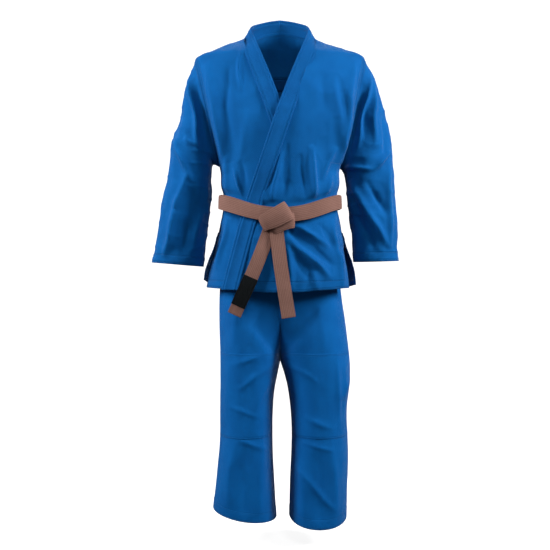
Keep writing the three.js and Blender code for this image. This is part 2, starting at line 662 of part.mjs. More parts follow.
// A leg's first ring, in the groin's plane: share 0 is the outer side, a quarter the front.
function groinRing(share) {
  const around = ((share % 1) + 1) % 1;
  const turn = around > 0.5 ? around - 1 : around;
  const half = OUTER_SHARE / 2;
  if (Math.abs(turn) <= half) {
    const p = trouserBody((turn / half) * (Math.PI / 2), HIP.z);
    return V(p.x, p.y, groin(p.x));
  }
  const inward = (0.5 - Math.abs(turn)) / (0.5 - half);
  const edge = trouserBody(Math.sign(turn) * (Math.PI / 2), HIP.z).y;
  return V(0, edge * inward, CROTCH_Z);
}

function leg(label, side) {
  const round = limb(LEG[label], LEG.depth, side);
  const point = (angle, t) => {
    const start = groinRing(angle / (Math.PI * 2));
    start.x *= side;
    const p = round(angle, Math.max(0, t));
    const drift = p.clone().sub(round(angle, 0));
    const blend = smooth(t / ROUND_BY);
    const square = start.add(drift);
    square.z -= Math.min(0, t) * 600;
    return square.lerp(p, blend);
  };
  const panel = [LEG_COLUMNS.slice(0, -1), LEG_ROWS];
  const knee = [LEG_COLUMNS.slice(2, 8), LEG_ROWS.slice(3, 7)];
  const ankle = [LEG_COLUMNS.slice(0, -1), LEG_ROWS.slice(-2)];
  return [
    trimmed(tube(`${label}_leg_panel`, "trousers", point, panel, [-TROUSER_CLOTH, 0]), groinPlane(side, true), middlePlane(side)),
    tube(`${label}_knee_patch`, "trousers", point, knee, PATCH, false),
    tube(`${label}_crotch_gusset`, "trousers", point, [LEG_COLUMNS.slice(9, 12), LEG_ROWS.slice(2, 4)], PATCH, false),
    tube(`${label}_ankle_facing`, "trousers", point, ankle, [facingDepth - FACING, facingDepth]),
  ];
}
const legs = { left: leg("left", 1), right: leg("right", -1) };

// ---------------------------------------------------------------- belt ends
// A strip of belt on its centre line in the front view, lying off the body's front.
function tailSurface({ line }, from = 0, to = 1, extra = 0) {
  const path = new THREE.CatmullRomCurve3(line.map(([x, z]) => V(x, 0, z)));
  return (u, v) => {
    const t = mix(from, to, v);
    const c = path.getPoint(clamp01(t)).addScaledVector(path.getTangent(1), Math.max(0, t - 1) * path.getLength());
    const ahead = path.getTangent(clamp01(t));
    const across = V(-ahead.z, 0, ahead.x);
    const p = c.addScaledVector(across, (u - 0.5) * (BELT.width + extra));
    const z = Math.max(p.z, HEM_Z);
    const { width, depth } = section(z, true);
    p.y = -depth * (1 - Math.min(0.99, Math.abs(p.x) / width) ** ROUNDNESS) ** (1 / ROUNDNESS);
    return p;
  };
}

function tailPiece(name, tail, colour = "brown", from = 0, to = 1, lift = 0, thick = BELT.thick, extra = 0) {
  const grid = [span(0, 1, 3), span(0, 1, 8)];
  const surface = tailSurface(tail, from, to, extra);
  return sheet(name, colour, surface, grid, () => tail.off + lift, thick, () => V(0, -1, 0));
}

function rankBar(tail) {
  const length = new THREE.CatmullRomCurve3(tail.line.map(([x, z]) => V(x, 0, z))).getLength();
  const to = 1 - RANK_BAR.from_tip / length;
  const from = to - RANK_BAR.length / length;
  return tailPiece("rank_bar", tail, "black", from, to, BELT.thick + 0.15, RANK_BAR.thick);
}
const barTail = [tailPiece("belt_bar_tail", BAR_TAIL), rankBar(BAR_TAIL)];
const plainTail = [tailPiece("belt_plain_tail", PLAIN_TAIL)];

// ---------------------------------------------------------------- the whole uniform
const uniform = new THREE.Group();
const garments = {
  jacket, outerSkirt, innerSkirt, backSkirt, barTail, plainTail,
  sleeves: [...sleeves.left, ...sleeves.right],
  trousers: [seat("left", 1), seat("right", -1), waistband, facing, ...loops],
  legs: [...legs.left, ...legs.right],
};
for (const pieces of Object.values(garments)) {
  const garment = new THREE.Group();
  garment.add(...pieces);
  uniform.add(garment);
}

export default uniform;
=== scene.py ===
# %% [markdown]
# # A belted judo uniform
#
# The uniform hangs as it does on a wearer: a wrap-over jacket with a padded collar, a tied brown
# belt with a black bar near one end, and wide trousers with knee patches. The CAD model gives every
# piece's size, its place and how it moves. Here each piece gets its cloth: folds, seams, stitches
# and weave. Everything is in metres, +Z is up and the front faces -Y. Left and right are the wearer's.

# %% Load the frame
import bmesh
import bpy
import numpy as np
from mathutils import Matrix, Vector


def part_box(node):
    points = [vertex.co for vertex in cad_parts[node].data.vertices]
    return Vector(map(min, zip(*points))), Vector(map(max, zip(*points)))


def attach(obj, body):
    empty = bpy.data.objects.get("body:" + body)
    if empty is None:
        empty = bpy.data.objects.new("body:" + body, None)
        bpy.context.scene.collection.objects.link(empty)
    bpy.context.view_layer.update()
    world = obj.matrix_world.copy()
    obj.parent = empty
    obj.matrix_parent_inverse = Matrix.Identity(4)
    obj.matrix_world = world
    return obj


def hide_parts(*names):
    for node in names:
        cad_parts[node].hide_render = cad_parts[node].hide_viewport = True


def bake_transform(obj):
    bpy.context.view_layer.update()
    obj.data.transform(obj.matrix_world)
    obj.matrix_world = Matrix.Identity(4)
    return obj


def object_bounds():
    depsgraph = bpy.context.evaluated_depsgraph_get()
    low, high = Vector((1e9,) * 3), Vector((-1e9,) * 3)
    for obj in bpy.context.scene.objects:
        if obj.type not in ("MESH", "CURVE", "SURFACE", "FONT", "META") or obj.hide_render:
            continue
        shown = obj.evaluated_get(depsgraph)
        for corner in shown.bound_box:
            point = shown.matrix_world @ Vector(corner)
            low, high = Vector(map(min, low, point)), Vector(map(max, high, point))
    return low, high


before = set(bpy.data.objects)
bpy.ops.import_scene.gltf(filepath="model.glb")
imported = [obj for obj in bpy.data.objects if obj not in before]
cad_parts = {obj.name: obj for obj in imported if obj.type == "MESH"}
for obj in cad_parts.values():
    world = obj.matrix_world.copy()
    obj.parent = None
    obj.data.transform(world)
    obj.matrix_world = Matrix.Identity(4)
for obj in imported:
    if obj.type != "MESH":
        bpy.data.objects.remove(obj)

cad_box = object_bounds()
print("CAD box", cad_box)

# %% [markdown]
# ## Camera, light and floor
#
# A garment is shown best from straight in front at half its height, so that nothing leans. The
# floor sweeps up into the wall in one curve, which leaves no line behind the object. Two tall soft
# lights stand well to the left and right and graze the cloth, which brings out the folds and leaves the
# middle darker, and a weaker one in front lifts the shadows.

# %% Camera
MIDDLE = np.array([-0.015, 0.0, -0.699])
DISTANCE = 2.75
SHOWN = 1.65  # how much of the plane through the object's middle the picture takes in

scene = bpy.context.scene
camera = bpy.data.objects.new("camera", bpy.data.cameras.new("camera"))
scene.collection.objects.link(camera)
camera.location = (MIDDLE[0], -DISTANCE, MIDDLE[2])
camera.rotation_euler = (np.pi / 2, 0, 0)
camera.data.sensor_width = 36
camera.data.lens = camera.data.sensor_width * DISTANCE / SHOWN
scene.camera = camera
scene.view_settings.view_transform = "Standard"
print("lens", round(camera.data.lens, 1), "mm")

# %% Lights
def soft_light(name, place, size, watts, tint=(1, 1, 1)):
    """An area light of that width and height, turned to face the object's middle."""
    light = bpy.data.lights.new(name, "AREA")
    light.shape = "RECTANGLE"
    light.size, light.size_y = size
    light.energy = watts
    light.color = tint
    holder = bpy.data.objects.new(name, light)
    scene.collection.objects.link(holder)
    holder.location = place
    holder.rotation_euler = Vector(MIDDLE - np.array(place)).to_track_quat("-Z", "Y").to_euler()
    return holder


soft_light("left_light", (-2.2, -0.75, 0.60), (0.6, 1.3), 90)
soft_light("right_light", (2.2, -0.85, 0.65), (0.6, 1.2), 96)
soft_light("front_light", (0.5, -2.8, 1.2), (0.9, 0.9), 24)

world = bpy.data.worlds.new("studio")
scene.world = world
world.use_nodes = True
world.node_tree.nodes["Background"].inputs["Color"].default_value = (1, 1, 1, 1)
world.node_tree.nodes["Background"].inputs["Strength"].default_value = 0.12

# %% [markdown]
# ## Maths that every piece shares
#
# Cloth is a surface of two parameters: one runs across a piece and one down it. Each shape below is
# a formula on such a grid, worked out for all its points at once. Folds are added along the
# surface's own normals, so the same base form carries a smooth panel or a rumpled one.

# %% Curves and blends
def smooth(t):
    """0 below 0, 1 above 1, and an S curve between: 3t^2 - 2t^3."""
    t = np.clip(t, 0, 1)
    return t * t * (3 - 2 * t)


def mix(a, b, t):
    return a + (b - a) * t


def through(rows, key, column=1):
    """A smooth curve through rows of (key, values), with falling keys: a cubic between each two rows,
    whose slope at a row is that of the line between its neighbours."""
    rows = np.asarray(rows, float)
    k, v = -rows[:, 0], rows[:, column]
    x = np.clip(-np.asarray(key, float), k[0], k[-1])
    ahead, behind = np.minimum(np.arange(len(k)) + 1, len(k) - 1), np.maximum(np.arange(len(k)) - 1, 0)
    slope = (v[ahead] - v[behind]) / (k[ahead] - k[behind])
    i = np.clip(np.searchsorted(k, x, side="right") - 1, 0, len(k) - 2)
    step = k[i + 1] - k[i]
    t = (x - k[i]) / step
    return ((2 * t**3 - 3 * t**2 + 1) * v[i] + (t**3 - 2 * t**2 + t) * slope[i] * step
            + (3 * t**2 - 2 * t**3) * v[i + 1] + (t**3 - t**2) * slope[i + 1] * step)


def along(values, t):
    """The same for values at even steps, at t from 0 to 1."""
    rows = np.column_stack([-np.arange(len(values)), values])
    return through(rows, -np.asarray(t) * (len(values) - 1))


def path_points(points, count):
    """That many points on a smooth curve through the given ones, even in the share of their chord length."""
    points = np.asarray(points, float)
    chord = np.concatenate([[0], np.cumsum(np.linalg.norm(np.diff(points, axis=0), axis=1))])
    at = -np.linspace(0, chord[-1], count)
    return np.column_stack([through(np.column_stack([-chord, points[:, k]]), at) for k in range(3)])


def unit(v):
    return v / np.maximum(np.linalg.norm(v, axis=-1, keepdims=True), 1e-12)

# %% [markdown]
# Folds have two sources. Those that a fitting or a movement has left are laid down one by one as
# strokes on the cloth, each from one point to another. The rest, the small unevenness of any worn
# cotton, is noise: smooth random numbers, the same on every run.

# %% Noise and folds
def noise(p, size, seed=0):
    """Value noise from -1 to 1: a random number at each corner of a lattice of that size (one size, or
    one for each axis), blended across each cell by the curve 6t^5 - 15t^4 + 10t^3."""
    q = np.asarray(p, float) / size + 31.7 * seed + 5.3
    cell = np.floor(q).astype(np.int64)
    f = q - cell
    f = f**3 * (f * (f * 6 - 15) + 10)

    def corner(dx, dy, dz):
        h = (cell[..., 0] + dx) * 73856093 ^ (cell[..., 1] + dy) * 19349663 ^ (cell[..., 2] + dz) * 83492791
        h = (h * 2654435761 + seed * 40503) & 0xFFFFFFFF
        h = ((h ^ (h >> 15)) * 2246822519) & 0xFFFFFFFF
        return ((h ^ (h >> 13)) & 0xFFFF) / 32767.5 - 1

    x, y, z = f[..., 0], f[..., 1], f[..., 2]
    low = mix(mix(corner(0, 0, 0), corner(1, 0, 0), x), mix(corner(0, 1, 0), corner(1, 1, 0), x), y)
    high = mix(mix(corner(0, 0, 1), corner(1, 0, 1), x), mix(corner(0, 1, 1), corner(1, 1, 1), x), y)
    return mix(low, high, z)


def rumple(p, size, height, seed=0):
    """Soft unevenness: three layers of noise, each half as large and half as high as the last."""
    p = np.asarray(p)
    return height * sum(noise(p, np.asarray(size) / 2**k, seed + k) / 2**k for k in range(3))


def creases(p, size, height, seed=0):
    """Sharp little ridges: 1 - |noise|, squared, less its mean, so that the crests are narrow and the
    rest is flat."""
    return height * ((1 - np.abs(noise(p, size, seed))) ** 3 - 0.3)


FOLD_GAIN = 1.35  # all the folds together, higher for a stiffer cloth


def strokes(across, up, lines, wander=0.006):
    """The sum of folds laid down as strokes on a plane. A stroke is (x0, z0, x1, z1, width, height): it
    runs from one point to the other, its height fades in and out as a sine, and its section is
    1 / (1 + (d / width)^2)^2, at distance d from its line. A little noise makes the lines wander."""
    p = np.stack([across, up, np.zeros_like(across)], -1)
    x = across + wander * noise(p, 0.07, 3)
    z = up + wander * noise(p, 0.07, 4)
    total = np.zeros_like(x)
    for x0, z0, x1, z1, width, height in lines:
        length = np.hypot(x1 - x0, z1 - z0)
        dx, dz = (x1 - x0) / length, (z1 - z0) / length
        t = ((x - x0) * dx + (z - z0) * dz) / length
        d = (x - x0) * dz - (z - z0) * dx
        fade = np.sin(np.pi * np.clip(t * 0.9 + 0.05, 0,
                                      1)) ** 0.8 * smooth(t * 6 + 1) * smooth((1 - t) * 6 + 1)
        total += height * fade / (1 + (d / width) ** 2) ** 2
    return total * FOLD_GAIN

# %% [markdown]
# ## Turning a grid into a mesh
#
# A piece of cloth is one grid of points with a thickness. `foreach_set` writes the grid into the
# mesh in one call, and a Solidify modifier gives it the thickness of the cloth afterwards. Each
# piece carries two maps: `cloth` holds lengths along and across the weave, so the weave has its
# true size everywhere, and `edges` holds the distance to hems and to seams, where the stitching runs.

# %% Mesh maker
def mesh_object(name, points, faces, maps, material):
    """An object at the origin with that mesh. maps is {name: one pair for each corner of each face}."""
    mesh = bpy.data.meshes.new(name)
    mesh.vertices.add(len(points))
    mesh.vertices.foreach_set("co", np.ascontiguousarray(points, np.float32).ravel())
    mesh.loops.add(faces.size)
    mesh.loops.foreach_set("vertex_index", faces.astype(np.int32).ravel())
    mesh.polygons.add(len(faces))
    mesh.polygons.foreach_set("loop_start", np.arange(0, faces.size, 4, dtype=np.int32))
    mesh.polygons.foreach_set("use_smooth", np.ones(len(faces), bool))
    for title, pairs in maps.items():
        layer = mesh.uv_layers.new(name=title)
        layer.data.foreach_set("uv", np.ascontiguousarray(pairs, np.float32).ravel())
    mesh.update(calc_edges=True)
    mesh.materials.append(material)
    piece = bpy.data.objects.new(name, mesh)
    scene.collection.objects.link(piece)
    return piece


def corners_of(columns, rows, ring):
    """The grid indices (i, j) of the four corners of every quad. In a ring the last column meets the
    first."""
    spans = columns if ring else columns - 1
    i, j = np.meshgrid(np.arange(spans), np.arange(rows - 1), indexing="ij")
    i, j = i.ravel(), j.ravel()
    return np.stack([i, i + 1, i + 1, i], 1), np.stack([j, j, j + 1, j + 1], 1)


def lengths(points, ring=False):
    """Distances along each axis of a grid, from its first column and row, as cloth coordinates. A ring
    gets one more column, where it closes."""
    if ring:
        points = np.concatenate([points, points[:1]], 0)
    u = np.cumsum(np.linalg.norm(np.diff(points, axis=0, prepend=points[:1]), axis=-1), 0)
    v = np.cumsum(np.linalg.norm(np.diff(points, axis=1, prepend=points[:, :1]), axis=-1), 1)
    middle = points.shape[0] // 2
    return np.stack([u - u[middle], np.broadcast_to(v.mean(0), u.shape)], -1)


def cloth(name, points, material, thick, ring=False, inside=None, hem=None, seam=None, cloth_map=None):
    """A sheet of cloth on a grid of points. inside is a point, or one for each grid point, that lies
    within the garment, and tells which side faces out. The grid is the outer face, and the thickness
    goes inwards."""
    columns, rows = points.shape[:2]
    i, j = corners_of(columns, rows, ring)
    du = np.roll(points, -1, 0)[:-1, :-1] - points[:-1, :-1]
    dv = points[:-1, 1:] - points[:-1, :-1]
    reference = np.broadcast_to(inside, points.shape)[:-1, :-1]
    if np.sum(np.cross(du, dv) * (points[:-1, :-1] - reference)) < 0:
        i, j = i[:, ::-1], j[:, ::-1]
    uv = lengths(points, ring) if cloth_map is None else cloth_map
    far = np.full((columns, rows), 0.5)
    edges = np.stack([far if hem is None else hem, far if seam is None else seam], -1)
    if ring:
        edges = np.concatenate([edges, edges[:1]], 0)
    maps = {"cloth": uv[i, j], "edges": edges[i, j]}
    piece = mesh_object(name, points.reshape(-1, 3), (i % columns) * rows + j, maps, material)
    shell = piece.modifiers.new("thickness", "SOLIDIFY")
    shell.thickness, shell.offset, shell.use_even_offset = thick, -1, False
    return piece


def normals(points, inside, ring=False):
    """Unit normals of a grid, from the cross product of its two directions, on the side away from inside."""
    if ring:
        wide = np.concatenate([points[-1:], points, points[:1]], 0)
        du = (wide[2:] - wide[:-2])
    else:
        du = np.gradient(points, axis=0)
    dv = np.gradient(points, axis=1)
    n = unit(np.cross(du, dv))
    return n * np.where(np.sum(n * (points - inside), -1, keepdims=True) < 0, -1, 1)

# %% [markdown]
# ## Cloth finishes
#
# Judo jackets are woven in a pearl weave, whose raised grains stand in rows like rice. The trousers
# are a plain twill, the belt is a ribbed band sewn through in eight rows, and all of it is dyed
# cotton that pales a little where it is rubbed. Three effects are shared, so each is a node group:
# the grain of the weave, the fading, and the sewing thread with painted shade beside its rows.

# %% Node helpers
def node(tree, kind, inputs=None, **settings):
    """A node with its settings, and its inputs set to values or linked to sockets."""
    made = tree.nodes.new("ShaderNode" + kind)
    for key, value in settings.items():
        setattr(made, key, value)
    for key, value in (inputs or {}).items():
        if isinstance(value, bpy.types.NodeSocket):
            tree.links.new(value, made.inputs[key])
        else:
            made.inputs[key].default_value = value
    return made


def sums(tree, operation, *values):
    """The output of one Math node."""
    return node(tree, "Math", dict(enumerate(values)), operation=operation).outputs[0]


def blend_colour(tree, share, a, b):
    """A mix of two colours."""
    mixer = node(tree, "Mix", data_type="RGBA")
    for socket, value in zip((mixer.inputs[0], mixer.inputs[6], mixer.inputs[7]), (share, a, b)):
        if isinstance(value, bpy.types.NodeSocket):
            tree.links.new(value, socket)
        else:
            socket.default_value = value
    return mixer.outputs[2]


def node_group(name, inputs, outputs):
    """An empty shader node group with those sockets. inputs is {name: (type, default)}."""
    tree = bpy.data.node_groups.new(name, "ShaderNodeTree")
    for title, (kind, default) in inputs.items():
        socket = tree.interface.new_socket(title, in_out="INPUT", socket_type="NodeSocket" + kind)
        if default is not None:
            socket.default_value = default
    for title, kind in outputs.items():
        tree.interface.new_socket(title, in_out="OUTPUT", socket_type="NodeSocket" + kind)
    return tree, tree.nodes.new("NodeGroupInput").outputs, tree.nodes.new("NodeGroupOutput")

# %% The grain of the weave
def build_grain():
    """Grains in rows: the height is |sin| along times |sin| across, and every other row is shifted by
    half a grain. Ribs alone remain where the Along pitch is very long."""
    tree, given, out = node_group("grain", {"Cloth": ("Vector", None), "Along": ("Float", 0.005),
                                            "Across": ("Float", 0.0028)}, {"Height": "Float"})
    place = node(tree, "SeparateXYZ", {0: given["Cloth"]})
    row = sums(tree, "DIVIDE", place.outputs["X"], given["Across"])
    shift = sums(tree, "MULTIPLY", sums(tree, "FLOORED_MODULO", sums(tree, "FLOOR", row), 2.0), 0.5)
    step = sums(tree, "ADD", sums(tree, "DIVIDE", place.outputs["Y"], given["Along"]), shift)
    ribs = sums(tree, "ABSOLUTE", sums(tree, "SINE", sums(tree, "MULTIPLY", row, np.pi)))
    grains = sums(tree, "ABSOLUTE", sums(tree, "SINE", sums(tree, "MULTIPLY", step, np.pi)))
    tree.links.new(sums(tree, "MULTIPLY", ribs, sums(tree, "POWER", grains, 0.6)), out.inputs["Height"])
    return tree


grain_group = build_grain()

# %% Fading and lint
def build_fading():
    """Two sizes of noise on the object's own coordinates: broad patches where the dye has faded, and
    fine specks of lint and uneven yarn."""
    tree, given, out = node_group("fading", {"Patches": ("Float", 14.0)},
                                  {"Share": "Float", "Specks": "Float"})
    place = node(tree, "TexCoord").outputs["Object"]
    broad = node(tree, "TexNoise", {"Vector": place, "Scale": given["Patches"], "Detail": 4.0,
                                    "Roughness": 0.6})
    fine = node(tree, "TexNoise", {"Vector": place, "Scale": 420.0, "Detail": 2.0, "Roughness": 0.7})
    tree.links.new(node(tree, "MapRange", {0: broad.outputs[0], 1: 0.35, 2: 0.68}).outputs[0],
                   out.inputs["Share"])
    tree.links.new(node(tree, "MapRange", {0: fine.outputs[0], 1: 0.3, 2: 0.75}).outputs[0],
                   out.inputs["Specks"])
    return tree


fading_group = build_fading()

# %% Sewing thread, with painted shade beside it
def build_sewing():
    """Rows of thread beside the edges: two rows at First and Second from a hem, and two more at Seam from
    a seam, 3 mm apart. A row is a bump within 0.7 mm of its line, cut into stitches along it. A wider band,
    within 3.5 mm of each row, dents the relief and carries painted shade into the colour."""
    sockets = {"Cloth": ("Vector", None), "Edges": ("Vector", None), "First": ("Float", 0.004),
               "Second": ("Float", 0.026), "Seam": ("Float", 0.003)}
    tree, given, out = node_group("sewing", sockets, {"Thread": "Float", "PuckerAndShade": "Float"})
    edge = node(tree, "SeparateXYZ", {0: given["Edges"]})
    place = node(tree, "SeparateXYZ", {0: given["Cloth"]})
    run = sums(tree, "ADD", place.outputs["X"], place.outputs["Y"])
    stitch = sums(tree, "SINE", sums(tree, "MULTIPLY", run, 2 * np.pi / 0.0038))
    gaps = node(tree, "MapRange", {0: stitch, 1: -0.9, 2: -0.3}).outputs[0]

    def row(distance, line, width):
        away = sums(tree, "ABSOLUTE", sums(tree, "SUBTRACT", distance, line))
        return node(tree, "MapRange", {0: away, 1: width, 2: width * 0.4}).outputs[0]

    second_seam = sums(tree, "ADD", given["Seam"], 0.006)
    lines = [(edge.outputs["X"], given["First"]), (edge.outputs["X"], given["Second"]),
             (edge.outputs["Y"], given["Seam"]), (edge.outputs["Y"], second_seam)]
    for title, width in (("Thread", 0.0009), ("PuckerAndShade", 0.0035)):
        total = row(*lines[0], width)
        for distance, line in lines[1:]:
            total = sums(tree, "MAXIMUM", total, row(distance, line, width))
        result = sums(tree, "MULTIPLY", total, gaps) if title == "Thread" else total
        tree.links.new(result, out.inputs[title])
    return tree


sewing_group = build_sewing()

# %% [markdown]
# One function makes every dyed cloth of the uniform from those groups. What is the same all over a
# cloth, its sheen, is set on the shader itself. The rest, colour, roughness and relief, changes over
# the surface, so nodes work it out.

# %% Cotton
def cotton(name, deep, pale, grain, relief=0.0005, sewn=True, sheen=0.55, rough=0.85):
    """A dyed cotton cloth: deep and pale are its colours in the hollows and on the worn crests of the weave,
    grain is the weave's pitch along and across in metres, and relief its height."""
    material = bpy.data.materials.new(name)
    material.use_nodes = True
    tree = material.node_tree
    shader = tree.nodes["Principled BSDF"]
    cloth_map = node(tree, "UVMap", uv_map="cloth").outputs[0]
    edge_map = node(tree, "UVMap", uv_map="edges").outputs[0]
    weave = node(tree, "Group", node_tree=grain_group)
    tree.links.new(cloth_map, weave.inputs["Cloth"])
    weave.inputs["Along"].default_value, weave.inputs["Across"].default_value = grain
    fading = node(tree, "Group", node_tree=fading_group)
    worn = sums(tree, "MULTIPLY_ADD", fading.outputs["Share"], 0.16,
                sums(tree, "MULTIPLY", weave.outputs[0], 0.5))
    worn = sums(tree, "MULTIPLY_ADD", fading.outputs["Specks"], 0.22, worn)
    colour = blend_colour(tree, worn, (*deep, 1), (*pale, 1))
    height = sums(tree, "MULTIPLY_ADD", fading.outputs["Specks"], 0.25, weave.outputs[0])
    if sewn:
        sewing = node(tree, "Group", node_tree=sewing_group)
        tree.links.new(cloth_map, sewing.inputs["Cloth"])
        tree.links.new(edge_map, sewing.inputs["Edges"])
        # Painted shade: beside each stitched row the colour is darkened towards 0.45 of the deep colour, and
        # the same band dents the relief.
        painted_pucker_shade = blend_colour(tree, sums(tree, "MULTIPLY", sewing.outputs["PuckerAndShade"], 0.35), colour,
                            (*(0.45 * np.array(deep)), 1))
        colour = blend_colour(tree, sums(tree, "MULTIPLY", sewing.outputs["Thread"], 0.55), painted_pucker_shade,
                              (*(1.25 * np.array(pale)), 1))
        height = sums(tree, "SUBTRACT", height, sums(tree, "MULTIPLY", sewing.outputs["PuckerAndShade"], 1.6))
        height = sums(tree, "MULTIPLY_ADD", sewing.outputs["Thread"], 1.4, height)
    tree.links.new(colour, shader.inputs["Base Color"])
    roughness = node(tree, "MapRange", {0: worn, 3: min(1.0, rough + 0.08), 4: rough - 0.08}).outputs[0]
    tree.links.new(roughness, shader.inputs["Roughness"])
    bump = node(tree, "Bump", {"Height": height, "Distance": relief, "Strength": 0.9})
    tree.links.new(bump.outputs[0], shader.inputs["Normal"])
    shader.inputs["Sheen Weight"].default_value = sheen
    shader.inputs["Sheen Roughness"].default_value = 0.25
    shader.inputs["Sheen Tint"].default_value = (*np.clip(0.5 * np.array(pale) + 0.35, 0, 1), 1)
    shader.inputs["Specular IOR Level"].default_value = 0.08
    return material


BLUE_DEEP, BLUE_PALE = (0.0005, 0.056, 0.215), (0.0025, 0.150, 0.47)
pearl = cotton("pearl_weave", BLUE_DEEP, BLUE_PALE, (0.0048, 0.0026), 0.0006)
collar_cloth = cotton("collar_twill", (0.0005, 0.046, 0.185), (0.0025, 0.135, 0.42), (0.0016, 0.0012), 0.0003)
canvas = cotton("trouser_canvas", (0.0005, 0.062, 0.245), (0.0015, 0.160, 0.51), (0.0018, 0.0013), 0.0003,
                rough=0.82)
belt_cotton = cotton("belt_cotton", (0.125, 0.062, 0.048), (0.31, 0.170, 0.140), (0.0026, 0.0048), 0.0003,
                     sewn=False, sheen=0.2)
bar_cotton = cotton("bar_cotton", (0.0015, 0.0025, 0.003), (0.008, 0.010, 0.012), (0.0026, 0.0048), 0.0008,
                    sewn=False, sheen=0.15)
label_cotton = cotton("label_cotton", (0.0005, 0.036, 0.15), (0.002, 0.095, 0.32), (0.0008, 0.0008), 0.0002)
print([m.name for m in bpy.data.materials])

# %% Floor
def floor_sweep():
    """A pale sheet: flat on the floor, a quarter circle, then straight up behind the object. It throws no
    light on the object, so the lights alone shape the folds."""
    t = np.linspace(0, 1, 60)
    low, back, bend = cad_box[0][2] - 0.08, 2.6, 1.2
    turn = np.clip((t - 0.4) / 0.3, 0, 1) * np.pi / 2
    y = np.where(t < 0.4, mix(-6.0, back, t / 0.4), back + bend * np.sin(turn))
    z = np.where(t < 0.7, low + bend * (1 - np.cos(turn)), low + bend + (t - 0.7) * 14)
    x = np.linspace(-7, 7, 30)
    points = np.stack([np.repeat(x[:, None], 60, 1), np.repeat(y[None], 30, 0), np.repeat(z[None], 30, 0)],
                      -1)
    paper = bpy.data.materials.new("studio_paper")
    paper.use_nodes = True
    shader = paper.node_tree.nodes["Principled BSDF"]
    shader.inputs["Base Color"].default_value = (0.5, 0.5, 0.5, 1)
    shader.inputs["Roughness"].default_value = 1.0
    shader.inputs["Specular IOR Level"].default_value = 0.0
    shader.inputs["Emission Color"].default_value = (1, 1, 1, 1)
    shader.inputs["Emission Strength"].default_value = 0.9
    i, j = corners_of(30, 60, False)
    sweep = mesh_object("studio_sweep", points.reshape(-1, 3), i * 60 + j, {}, paper)
    sweep.visible_diffuse = sweep.visible_glossy = sweep.visible_shadow = False


floor_sweep()

# %% [markdown]
# ## The body's form
#
# Every piece of the jacket is drawn on one form: level oval sections of a wearer's trunk, from the
# neck to the hem. The armhole is a tilted oval cut out of its side. Fronts, collar, belt and skirt
# then differ only in how far they lie off that form, so they never run into each other.

# %% Form
ROUNDNESS = 2.3
SHOULDER = np.array([0.250, -0.054])  # x and z of the shoulder's tip
ARMPIT = np.array([0.176, -0.372])
ARMHOLE_DEPTH = 0.072
HEM_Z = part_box("back_skirt_panel")[0][2]
VENT_TOP = -0.594
LAP = 0.012  # the outer front's stand off the inner one
CLOTH = 0.0025

# Height, half width, front depth and back depth of the sections.
FORM = [
    (0.040, 0.086, 0.046, 0.070), (0.002, 0.110, 0.054, 0.077), (-0.020, 0.168, 0.068, 0.084),
    (-0.054, 0.250, 0.084, 0.092), (-0.150, 0.236, 0.108, 0.104), (-0.260, 0.206, 0.124, 0.108),
    (-0.372, 0.176, 0.124, 0.102), (-0.450, 0.167, 0.116, 0.096), (-0.490, 0.165, 0.113, 0.094),
    (-0.572, 0.180, 0.121, 0.102), (-0.660, 0.191, 0.128, 0.110), (-0.744, 0.199, 0.133, 0.116),
]
FREE_EDGE = [(0.012, 0.084), (-0.073, 0.046), (-0.221, -0.009), (-0.427, -0.077), (-0.539, -0.110),
             (-0.744, -0.162)]
SEAM_EDGE = [(0.002, 0.110), (-0.012, 0.116), (-0.069, 0.096), (-0.221, 0.041), (-0.427, -0.027),
             (-0.539, -0.060),
             (-0.744, -0.112)]


def power(v, p):
    return np.sign(v) * np.abs(v) ** p


def armhole(z):
    """Half the armhole's width at a height, from the oval's equation, and the x of its plane."""
    middle, half = (SHOULDER[1] + ARMPIT[1]) / 2, (SHOULDER[1] - ARMPIT[1]) / 2
    width = ARMHOLE_DEPTH * np.sqrt(np.maximum(0, 1 - ((z - middle) / half) ** 2))
    return width, mix(ARMPIT[0], SHOULDER[0], (z - ARMPIT[1]) / (SHOULDER[1] - ARMPIT[1]))


def section(z, front):
    """Half width and depth of the section at a height. Beside an armhole the oval passes through its edge."""
    z, front = np.broadcast_arrays(np.asarray(z, float), front)
    depth = np.where(front, through(FORM, z, 2), through(FORM, z, 3))
    hole, plane = armhole(z)
    beside = (z <= SHOULDER[1]) & (z >= ARMPIT[1])
    return np.where(beside, plane / (1 - (hole / depth) ** ROUNDNESS) ** (1 / ROUNDNESS),
                    through(FORM, z, 1)), depth


def body(angle, z):
    """A point of the form. Angle 0 is the wearer's left side, a quarter turn the front, three
    quarters the back."""
    angle, z = np.broadcast_arrays(angle, z)
    width, depth = section(z, np.sin(angle) >= 0)
    c, s = np.cos(angle), np.sin(angle)
    return np.stack([width * power(c, 2 / ROUNDNESS), -depth * power(s, 2 / ROUNDNESS), z], -1)


def angle_at(x, z):
    """The angle of the front's point with that x: the oval's equation solved for the angle."""
    width, _ = section(z, True)
    return np.arccos(np.clip(power(x / width, ROUNDNESS / 2), -1, 1))


def edge_angle(z, front):
    """The angle where a panel starts: the side or shoulder seam, or the armhole's edge."""
    _, depth = section(z, front)
    beside = (z <= SHOULDER[1]) & (z >= ARMPIT[1])
    return np.where(beside, np.arcsin(np.clip((armhole(z)[0] / depth) ** (ROUNDNESS / 2), 0, 1)), 0)


def outer_layer(angle, z):
    """How far the outer front stands off: nothing at its side seam and its shoulder, and LAP where it
    lies on the other."""
    return LAP * smooth(np.degrees(angle) / 32) * smooth((-0.060 - z) / 0.14)


def belt_height(angle):
    """The belt's middle: it dips towards the knot and rises behind."""
    s = np.sin(angle)
    return -0.483 + np.where(s > 0, -0.045, 0.013) * np.abs(s) ** 3


def belt_grip(angle, z):
    """1 where the belt presses the cloth flat, falling to 0 within 25 mm above and below."""
    return 1 - smooth((np.abs(z - belt_height(angle)) - 0.02) / 0.025)

